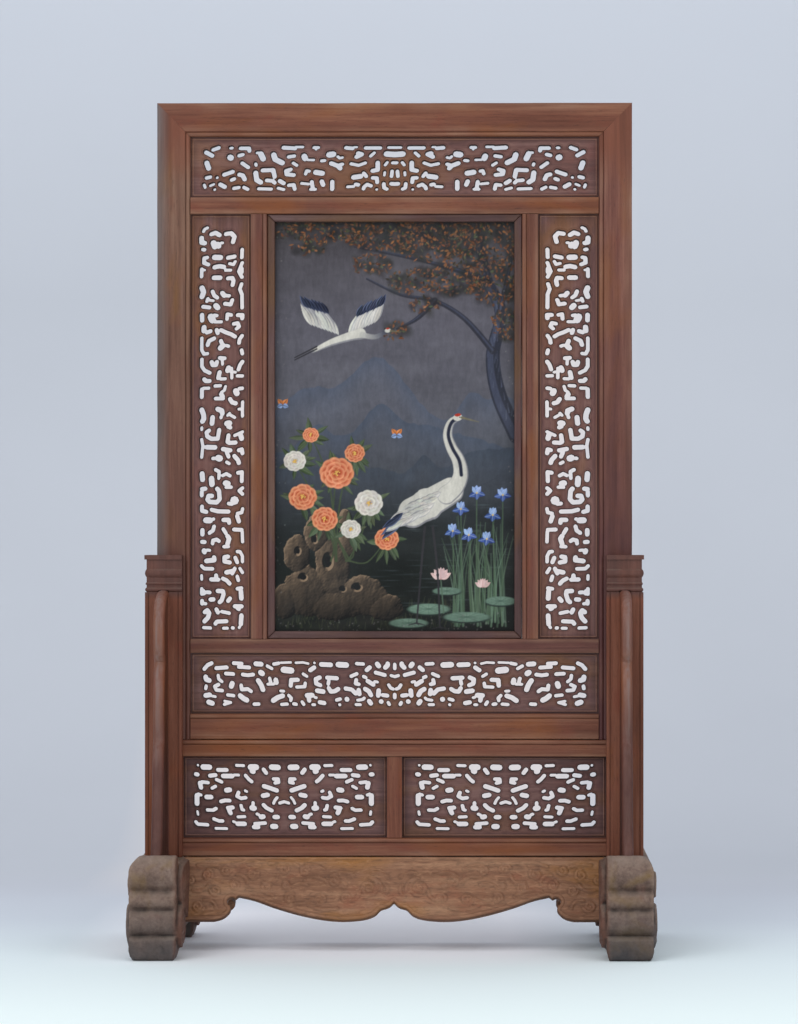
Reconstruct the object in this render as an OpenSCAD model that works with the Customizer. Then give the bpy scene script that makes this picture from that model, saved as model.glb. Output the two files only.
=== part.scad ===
// Table screen: a framed picture insert that lifts out of a two-footed stand.
// X runs across the screen, +Y to its back and +Z up; the origin is on the floor, midway between the feet.

/* [Insert frame] */
// Width of the insert over its stiles
insert_w = 474; // [450:1:540]
// Height of the insert from its foot to its top edge
insert_h = 634.8; // [600:0.1:700]
// Thickness of the insert's frame members
insert_t = 25; // [24:0.5:30]
// Width of each stile
stile_w = 33.5; // [31:0.5:38]
// Height of the top rail
top_rail_h = 34; // [30:0.5:40]
// Height of the rail between the top fretwork and the picture
upper_rail_h = 17; // [15:0.5:22]
// Height of the rail between the picture and the lower fretwork
lower_rail_h = 14.5; // [14:0.5:20]
// Height of the insert's bottom rail
bottom_rail_h = 25.8; // [22:0.1:32]
// Width of the mullions beside the picture
mullion_w = 16.5; // [15:0.5:22]
// Width of the bead worked along the inner edge of the frame
edge_bead_w = 5; // [4:0.5:6]
// Width and depth of the small groove beside that bead
quirk = 1.2; // [0.8:0.1:1.6]

/* [Insert fretwork] */
// Height of the opening for the top and the lower fretwork panel
long_fret_h = 60; // [54:0.5:70]
// Width of the opening for each side fretwork panel
side_fret_w = 60; // [54:0.5:66]
// Thickness of every fretwork panel
fret_t = 9; // [7:0.5:10]
// Depth from the insert's front to the face of its fretwork
fret_recess = 5; // [4:0.5:7]
// How much wider than drawn the fretwork's saw cuts are
saw_spread = 0.6; // [0:0.1:0.7]
// Plain margin at each end of the top and lower panels
long_end_margin = 10.5; // [8:0.5:14]
// Plain margin below the piercings of the top and lower panels
long_low_margin = 7; // [5:0.5:10]
// Plain margin above the piercings of the top and lower panels
long_high_margin = 8.5; // [6:0.5:11]
// Plain margin of a side panel next to the stile
side_outer_margin = 8.9; // [8:0.1:13]
// Plain margin of a side panel next to the mullion
side_inner_margin = 6.6; // [5:0.1:9]
// Plain margin of a side panel at its foot
side_low_margin = 8.6; // [7:0.1:12]
// Plain margin of a side panel at its head
side_high_margin = 11.2; // [8:0.1:13]

/* [Picture] */
// Width of the glazing beads that show around the picture
glazing_w = 7.5; // [6:0.5:9]
// Depth of the glazing beads
glazing_t = 7; // [5:0.5:8]
// Depth from the insert's front to the glazing beads
glazing_recess = 3; // [1:0.5:4]
// Thickness of the painted glass
glass_t = 3; // [2:0.5:4]
// Thickness of the backing board
board_t = 5; // [3:0.5:6]
// Width of the battens that hold the backing board
batten_w = 8; // [7:0.5:10]
// Depth from the insert's back to the battens
batten_recess = 0.5; // [0.5:0.5:1.5]
// Radius of the brass pins in the battens
pin_r = 0.7; // [0.5:0.1:0.9]
// Length of the brass pins
pin_l = 14; // [12:0.5:15]

/* [Stand] */
// Height of the flat top of the feet, where the posts stand
foot_h = 92; // [84:1:104]
// Height of the lower stretcher
lower_stretcher_h = 18; // [16:0.5:24]
// Height of the opening for the base fretwork
base_fret_h = 81; // [70:1:95]
// Height of the upper stretcher, on which the insert stands
upper_stretcher_h = 17; // [16:0.5:24]
// Depth of both stretchers, front to back
stretcher_d = 30; // [26:1:36]
// Width of the centre strut
strut_w = 15; // [14:0.5:20]
// Depth of the centre strut, front to back
strut_d = 26; // [20:1:26]
// Height of the posts above the feet
post_h = 300; // [280:1:320]
// Width of each post
post_w = 36.6; // [35.5:0.1:42]
// Depth of each post, front to back
post_d = 50; // [44:1:58]
// How far the insert's stiles sit inside the posts
housing_d = 26; // [20:0.5:27]
// Height of the moulded cap of each post
cap_h = 37; // [34:0.5:42]
// Plain margin of a base panel next to the strut
base_inner_margin = 13; // [9:0.5:16]
// Plain margin of a base panel next to the post
base_outer_margin = 10; // [7:0.5:13]
// Plain margin of a base panel at its foot
base_low_margin = 5.8; // [5:0.1:9]
// Plain margin of a base panel at its head
base_high_margin = 7.7; // [5:0.1:10]

/* [Feet] */
// Length of each foot, front to back
foot_l = 240; // [220:1:270]
// Width of each foot
foot_w = 46; // [43:0.5:54]
// How far each foot stands inside the inner face of its post
foot_set_in = 3; // [1:0.5:5]
// Height of the toe
toe_h = 23.2; // [20:0.2:28]
// Height of the roll above the toe
low_roll_h = 26.6; // [24:0.2:30]
// Height of the narrow middle roll
mid_roll_h = 16.5; // [13:0.5:19]
// Depth of the grooves between the rolls
roll_groove = 8; // [7:0.5:9]
// How far the front scroll rises above the flat top
scroll_rise = 9; // [4:0.5:10]
// Length of the arch under each foot
arch_l = 152; // [130:1:158]
// Height of the arch under each foot
arch_h = 21; // [14:0.5:22]
// Width that the rounded outer shoulder takes off a foot at the top
shoulder_in = 11; // [8:0.5:12]
// Height over which the outer shoulder rounds off
shoulder_drop = 16; // [14:0.5:20]
// Outer radius of the lower volutes carved on the sides of the feet
volute_r = 22; // [18:0.5:23]
// Height that the carving stands proud of a foot's outer side
outer_proud = 3.5; // [2:0.5:5]
// Height that the carving stands proud of a foot's inner side
inner_proud = 6.5; // [3:0.5:8]

/* [Aprons and spandrels] */
// Thickness of the aprons
apron_t = 9; // [7:0.5:10]
// Height of the aprons, measured straight down
apron_drop = 60.5; // [54:0.5:66]
// How far the aprons lean out at their foot
apron_lean = 25; // [18:1:32]
// Depth of the housings in the feet that hold the aprons' ends
apron_housing = 6; // [4:0.5:8]
// Thickness of the standing spandrels
spandrel_t = 11; // [9:0.5:14]
// Height of the spandrels above the feet
spandrel_h = 265; // [240:1:268]
// How far the spandrels reach out from the post at their foot
spandrel_reach = 76; // [66:1:80]
// Depth of the grooves in post and foot that hold the spandrels
spandrel_tongue = 4; // [3:0.5:5]

/* [Joinery] */
// Play of the insert in its grooves
slide_gap = 0.3; // [0.2:0.05:0.6]
// Play under the insert, between its foot and the upper stretcher
seat_gap = 0.2; // [0.1:0.05:0.4]
// Play on each face of a tenon or a panel in its groove
fit_gap = 0.1; // [0.05:0.05:0.2]
// Play at the end of a tenon or the edge of a panel
end_gap = 0.5; // [0.3:0.1:1]
// Depth of the grooves that hold the panels
groove_d = 5; // [4:0.5:5.5]
// Thickness of the tenons
tenon_t = 8; // [6:0.5:10]
// Length of the tenons on the long rails
rail_tenon_l = 22; // [16:0.5:24]
// Length of the tenons on mullions and strut
short_tenon_l = 8; // [5:0.5:8.5]
// How far a tenon is narrower than its rail on each edge
tenon_shoulder = 3.5; // [2:0.5:4]
// Depth of the post's tenon in the foot
post_tenon_l = 40; // [30:1:48]
// Radius of the bamboo pegs
peg_r = 2.5; // [2:0.1:3]
// Play around a peg or pin in its hole
peg_gap = 0.05; // [0.02:0.01:0.1]

/* [Hidden] */

// Colours of the woods, the glass and the metal
frame_wood = [0.36, 0.20, 0.15];
stand_wood = [0.34, 0.20, 0.15];
foot_wood = [0.36, 0.29, 0.24];
apron_wood = [0.47, 0.33, 0.23];
fret_wood = [0.30, 0.18, 0.16];
board_wood = [0.62, 0.50, 0.36];
peg_wood = [0.70, 0.58, 0.40];
glass_colour = [0.18, 0.20, 0.19];
brass_colour = [0.72, 0.58, 0.30];

// A little more than any cut needs, so that cuts pass clean through a face
past = 1;
// Points on each stretch of a smooth outline
curve_steps = 4;
// Corners of the round end of a saw cut in the fretwork
saw_fn = 8;
// Amount by which the fretwork's cuts are eased
saw_ease = 0.3;

// Places across the screen, as distances from its middle
stile_out = insert_w / 2;
stile_in = stile_out - stile_w;
mullion_out = stile_in - side_fret_w;
mullion_in = mullion_out - mullion_w;
post_in = stile_out - housing_d;
post_out = post_in + post_w;
post_mid = (post_in + post_out) / 2;
foot_in = post_in - foot_set_in;
foot_out = foot_in + foot_w;
foot_mid = (foot_in + foot_out) / 2;
strut_side = strut_w / 2;

// Heights of the stand and of the insert above the floor
base_fret_low = foot_h + lower_stretcher_h;
base_fret_high = base_fret_low + base_fret_h;
stand_top = base_fret_high + upper_stretcher_h;
post_top = foot_h + post_h;
insert_low = stand_top + seat_gap;
lower_fret_low = insert_low + bottom_rail_h;
lower_fret_high = lower_fret_low + long_fret_h;
picture_low = lower_fret_high + lower_rail_h;
insert_top = insert_low + insert_h;
top_fret_high = insert_top - top_rail_h;
top_fret_low = top_fret_high - long_fret_h;
picture_high = top_fret_low - upper_rail_h;

// Depths through the insert, front to back
insert_front = -insert_t / 2;
insert_back = insert_t / 2;
fret_front = insert_front + fret_recess;
fret_back = fret_front + fret_t;
bead_front = insert_front + glazing_recess;
glass_front = bead_front + glazing_t;
board_front = glass_front + glass_t;
batten_front = board_front + board_t;
batten_back = insert_back - batten_recess;

// Lean of a foot's sides at the floor
toe_in = 2.5;

// Places along a foot and of its rolls
toe_out = foot_l / 2;
scroll_top = foot_h + scroll_rise;
low_roll_z = toe_h + low_roll_h / 2;
mid_roll_z = toe_h + low_roll_h + mid_roll_h / 2;
mid_roll_back = 1.5;
top_roll_h = scroll_top - toe_h - low_roll_h - mid_roll_h;
top_roll_z = scroll_top - top_roll_h / 2;
shoulder_r = (shoulder_in * shoulder_in + shoulder_drop * shoulder_drop) / (2 * shoulder_in);
shoulder_z = scroll_top - shoulder_drop;
volute_back = 5;
volute_lift = 10;
volute_y = toe_out - volute_r - volute_back;
volute_z = volute_r + volute_lift;
high_volute_y = toe_out - top_roll_h;
high_volute_z = scroll_top - top_roll_h * 0.9;

// The aprons hang from the lower stretcher and reach into both feet
apron_end = foot_in + apron_housing;
apron_slope = atan2(apron_lean, apron_drop);
apron_low = foot_h - apron_drop;
apron_top_y = stretcher_d / 2;

// Pegs that lock the tenons, from the back
stand_peg_x = post_in + rail_tenon_l * 0.35;
frame_peg_x = stile_in + rail_tenon_l * 0.7;

// Outline of an apron's lower edge: distance from the middle, height above its lowest line
apron_design_end = 214;
apron_middle = [[0, 17.5], [3.5, 14], [8, 12], [13, 10.5], [19, 5], [30, 1.5], [50, 0], [71, 1.6],
    [95, 6.3], [119, 13], [138, 19.5], [154, 23]];
apron_lobe = [[163, 16], [162, 9], [169, 2.5], [178, 0]];
apron_notch = [161, 17.5, 4.5];

// Outline of a spandrel as shares of its reach and its height, from its toe to its head
spandrel_low = [[1, 0], [0.975, 0.03], [0.9, 0.09], [0.83, 0.17], [0.775, 0.27], [0.735, 0.35], [0.68, 0.42],
    [0.615, 0.45], [0.64, 0.5], [0.645, 0.57], [0.62, 0.64], [0.56, 0.7], [0.5, 0.735]];
spandrel_high = [[0.58, 0.76], [0.63, 0.82], [0.6, 0.9], [0.44, 0.965], [0.2, 0.995], [0, 1]];

// Saw cuts of the top panel, half of a mirrored design on a field of 193 by 44.5.
// Each cut is its width, then the points it runs through: distance from the middle, height.
top_field = [193, 44.5];
top_cuts = [
    [3.9, [188.5, 38.5], [182.5, 35.2]], [3.6, [181.5, 41], [176, 43]], [4.6, [188, 28], [186, 22.5]],
    [3.5, [188, 13], [184.5, 13.8]], [2.4, [177.5, 13.2]], [2.4, [190.5, 6], [189.5, 3.5]],
    [2.4, [184.3, 5.2], [181, 6.5]], [2.4, [180, 1.4]], [3.9, [174.5, 6.5], [170, 4]],
    [2.6, [164, 42.8], [162.5, 42.8]], [5.8, [164.5, 33.5], [163.8, 33]],
    [3.6, [154, 42.5], [145.8, 42.5], [145.3, 40]], [3.6, [155.5, 35.3], [152, 36.2]],
    [3.4, [152.5, 27.7], [146.5, 23.5]], [3.9, [170.5, 16.2], [162, 19]], [3.6, [163, 11], [160.5, 12]],
    [3.9, [155.5, 16.3], [152, 15.5], [150, 11.5]], [3.2, [160.8, 2.6], [155.8, 3.4]],
    [3, [151, 3.6], [147, 1.6]], [2.6, [139, 27], [138.5, 25.5]], [5.2, [134, 37], [131.5, 32]],
    [2.5, [137.5, 38], [135, 38]], [5, [121, 36], [119.5, 31.5], [112.5, 28]],
    [3.9, [111, 43.2], [99.5, 42.5]], [2.4, [99, 43.8], [92, 43.8]], [3.4, [106, 34], [100.5, 34.8]],
    [2.8, [101.5, 27.8], [98, 25.5]], [5.4, [90.5, 34.5], [89.5, 32.3]], [2.2, [87, 31], [81, 30.8]],
    [3.7, [104, 21.3], [108.6, 20], [108, 16.5], [101, 15.8]], [3, [89, 17], [88, 20], [85.5, 19.6]],
    [5, [79, 18.5], [72.5, 17.5]], [3.9, [132, 20.5], [121.5, 20.8], [120, 14]],
    [3.5, [128, 10.5], [122, 10], [120, 8]], [4.6, [139, 18], [138, 11], [134, 8.5]],
    [3.9, [115, 10], [111, 7.5]], [3, [136, 2.2], [123.5, 1.8]], [2.8, [116.5, 2.8], [111, 1.4]],
    [3.3, [106, 5.6], [101, 6], [100, 1.8]], [2.6, [93, 7.5], [86, 6.8]], [3.4, [83, 9], [82, 3]],
    [2.8, [84, 1.6], [79.5, 1.6]], [3.9, [73, 9.5], [71.5, 6]], [3.8, [62.5, 9], [62.5, 1.9]],
    [3, [80.5, 43.2], [76.5, 43.2]], [2.2, [78.5, 41.5]], [5.8, [65.5, 36], [61.5, 36.5]],
    [2.5, [57, 34.3], [55, 32.6], [52.5, 33.2]], [2.9, [73, 30], [70, 30.3]],
    [4.2, [63.5, 27.5], [57, 25], [54.5, 22.5]], [3.4, [55, 26], [52.5, 26.5]],
    [3.6, [48.5, 43], [42, 42.4]], [2, [41, 43.6], [38, 43.6]], [3.4, [29, 42.8], [14.5, 42.8]],
    [2.6, [6, 43.2], [0, 43.2]], [4.2, [36.5, 37.5], [33, 36.5], [38, 34]], [2.9, [20.5, 38], [24, 34.8]],
    [5.6, [8, 36.8], [0, 36.2]], [3, [43.5, 27], [36, 25.5], [29.5, 27.8]],
    [4, [17, 28], [17, 21], [22, 20]], [2.6, [7.5, 28.3], [9.5, 25.8]], [3, [2, 28], [0, 28]],
    [4.8, [41, 13.5], [34, 14.5]], [3.4, [31, 17.5], [28.5, 14.5]],
    [3.5, [22, 13], [18, 12.8], [17.5, 8.5]], [2, [10, 18.5], [10.3, 15.5]],
    [3.2, [2.6, 19.5], [3.2, 14.5]], [2.6, [47, 4], [41, 4.4]], [3.6, [39, 6.5], [36.5, 6]],
    [3.4, [31.2, 2.2], [30.6, 4], [27.5, 6.3], [23.8, 5]], [2, [18, 1.4]],
    [3.2, [11, 7], [10.6, 3], [8, 1.8]], [3.6, [3.4, 7], [0, 6.8]]
];

// Saw cuts of the lower panel, half of a mirrored design on a field of 193 by 44.5
lower_field = [193, 44.5];
lower_cuts = [
    [3.3, [190.5, 37], [187, 41], [183, 42.8]], [3.5, [178.5, 37.8], [168, 38.6]],
    [3.3, [161, 42.8], [153, 42.4]], [3.4, [156, 39.2], [145.5, 38.5]], [4.4, [139, 42.2], [133.5, 41.8]],
    [2.9, [127.5, 40], [123, 37.6]], [2.9, [121, 41.8], [116, 42.8]], [1.8, [114, 43.2], [104, 43.6]],
    [1.8, [99, 43.2], [92, 43.6], [86.5, 42.4]], [6, [111, 36.3], [103.5, 35.5]],
    [3.8, [84.5, 35.8], [80.5, 38.6]], [2, [80.3, 43]], [4.2, [73.5, 41.6], [64, 41.2]],
    [5.2, [56.5, 41.4], [48.5, 41]], [2.9, [38, 42.4], [31.5, 42]], [3.8, [28, 36], [25, 38.6]],
    [4.4, [17.5, 42], [16, 40]], [4.2, [7, 42.2], [7, 41], [9.5, 38.5]],
    [4.6, [189, 29], [188.5, 26.5], [185.5, 25.6]], [3, [176.5, 30.5], [176, 27], [173, 24.5]],
    [3.3, [169, 32.5], [161.5, 32]], [3.3, [152, 31.5], [147, 30.8], [141.5, 31.5]],
    [5.2, [134, 33.5], [132.5, 32.5]], [4.6, [136.5, 25.5], [133.5, 21], [131.8, 16.5]],
    [3.2, [125, 27.5], [124, 23.5]], [2.4, [127, 21.8], [121, 22]], [4.6, [119, 26], [118.5, 23.5]],
    [3.8, [104, 20.5], [103.5, 26], [97, 26.2]], [2.6, [91.5, 32], [88, 29.8]],
    [2.8, [98, 19], [90, 19.4], [89.5, 22.8]], [3.8, [75, 28.5], [79, 26.8], [78.5, 22.5], [74.5, 20.8]],
    [3.8, [67.5, 28.3], [58, 27.8]], [3.2, [66, 25], [66.5, 22]], [3, [43.5, 29.8], [38, 32.2]],
    [3.4, [38.5, 26.2], [39, 22.5], [36, 21.8]], [3, [31, 29.5], [29, 28.5]], [4, [27, 25], [21.5, 21.5]],
    [2.4, [20, 24.4], [17.5, 24]], [3.5, [19, 33.5], [10, 31]], [3, [188.5, 20], [189, 17.5]],
    [3.2, [176, 21.5], [180, 19.5], [178.5, 16], [172.5, 15.5]], [4.8, [162.5, 22.5], [163.5, 19.8]],
    [3.4, [153.5, 20.5], [153, 16.5], [147, 17], [143.8, 14.8]], [4.4, [189, 10.5], [185, 11.2]],
    [2.4, [183, 10], [179.5, 9.4]], [4.8, [186, 4], [182.5, 2.8]], [3, [167, 11], [161, 10.4]],
    [2.4, [170, 4.8], [164, 3.6], [170.5, 1.6]], [4.8, [154.5, 10.3], [151, 7.4], [148, 6]],
    [3, [140.5, 1.8], [136, 2]], [4.4, [121.5, 5.5], [117, 8.5], [112, 10.3]],
    [2.4, [114, 15], [111, 14.8]], [3, [106, 10.5], [103.5, 8], [104, 5.5]],
    [2.8, [113, 1.6], [107.5, 2]], [3, [101, 2.2], [98.5, 1.8]], [3, [92.5, 4], [91, 1.8]],
    [4.6, [87.5, 10.5], [82.5, 10.8]], [4, [86, 8], [85.5, 5.5]], [2.4, [80, 8.8], [78.5, 8.4]],
    [2.4, [82, 1.4], [80, 1.4]], [3.8, [75, 3.8], [70.5, 3]], [4.4, [77.5, 15.3], [71.5, 14.5]],
    [3.8, [66, 18], [64, 14.5], [60, 14.8], [56.5, 17]], [3, [58, 6], [54.5, 7]], [2.6, [55, 1.4]],
    [4.6, [47.8, 6.8]], [3.8, [49, 17.5], [43, 16.5], [39, 12.5]], [4.2, [36, 16], [35.4, 12]],
    [2.6, [37, 5.8], [32, 6.6], [30.5, 8]], [2.6, [38.5, 1.5], [34.5, 1.5]],
    [4.2, [29.5, 17], [26, 15], [23.8, 11]], [4.2, [25.5, 5], [24, 2.8]], [4.2, [16, 15.5], [16.5, 10.5]],
    [3.6, [12, 11], [7.5, 10.4]], [4.4, [13.5, 4.6]], [2.8, [6.5, 3.5], [5.5, 1.7]],
    [2.8, [6, 21], [4, 18], [1.5, 17]], [2.6, [3.6, 30.5], [0, 29.4]], [3.2, [0, 8.6], [0, 11.5]],
    [3, [0, 37.6], [0, 41.6]]
];

// Saw cuts of a base panel, half of a mirrored design on a field of 90 by 67.5
base_field = [90, 67.5];
base_cuts = [
    [5.2, [81, 64], [74.5, 63.8]], [2, [86, 65.8]], [3.8, [88, 56.8], [86.5, 56.6]],
    [3.8, [66, 61], [57.5, 61]], [2.6, [47.5, 65.6], [40.5, 65.4]], [3.8, [74, 55.3], [68.5, 56]],
    [4.4, [61, 55], [52, 55]], [2.4, [50, 56], [45.5, 56]], [3.3, [67.5, 51.4], [62.5, 49.2]],
    [5.8, [33.5, 63.8], [28, 63.8]], [5, [32, 60], [31, 59.6]], [3.7, [20.5, 61.5], [18, 58.2]],
    [5.4, [12.5, 63.8], [6.2, 63.6]], [3.3, [38.5, 55.5], [35, 51.5], [32.5, 49.5]],
    [3.2, [10.5, 52], [6, 52], [5.6, 48.8], [9, 48]], [4.2, [84, 48], [83, 43.5]],
    [3.2, [82, 49], [76, 48.4]], [2.8, [72, 42.8], [68.5, 44.8]], [4.8, [57.5, 40.8], [54.5, 41.2]],
    [4.2, [20, 44.8], [15, 43.2], [7.5, 40.6]], [4.4, [21, 35.3], [16.5, 36.2]],
    [3.4, [45.5, 38.5], [47, 34.8], [43, 32.6], [38.5, 33.4]], [2.4, [38.8, 40.2], [37.5, 39.5]],
    [4.6, [87, 35.5], [87, 27.5]], [2.8, [85.5, 37], [83, 36]], [4.4, [77.5, 34], [73, 34]],
    [3.5, [63, 29.5], [59, 30.6], [54.5, 30.4]], [2, [86.5, 19.5], [86, 16.5]],
    [3.1, [76.5, 21], [71, 20.8], [68, 22.5]], [4, [56, 23], [51.5, 23.5]], [4.2, [55, 21], [53.5, 18]],
    [3, [43, 25.5], [42, 21.5], [40.5, 21]], [3, [31, 28.2], [31, 26]], [5.4, [32, 23.2], [30, 22.8]],
    [3.8, [20.5, 26], [17.5, 23], [12.5, 20.5]], [2.4, [7, 33.5], [9.2, 30.8], [10.6, 27.6]],
    [2.8, [4.5, 28], [0, 29.3]], [2.9, [46, 14], [39.5, 14.4]], [2.8, [27, 17], [25, 16]],
    [4.8, [23, 14], [21, 14.4]], [4.2, [9.5, 14], [6.5, 14]], [3.3, [70, 12], [65, 10], [61.5, 10]],
    [3.2, [88, 9], [86, 6.8], [76.5, 6.2]], [2.6, [68, 2.6], [57.5, 2.4]],
    [2.4, [50.5, 9.4], [48.5, 8.6]], [4.4, [46.5, 7.2], [39.5, 7.2]], [4.2, [30, 4], [26, 4]],
    [3.4, [29, 7.2], [19, 8]], [5, [11.5, 4.6], [8.5, 4.6]]
];

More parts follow.
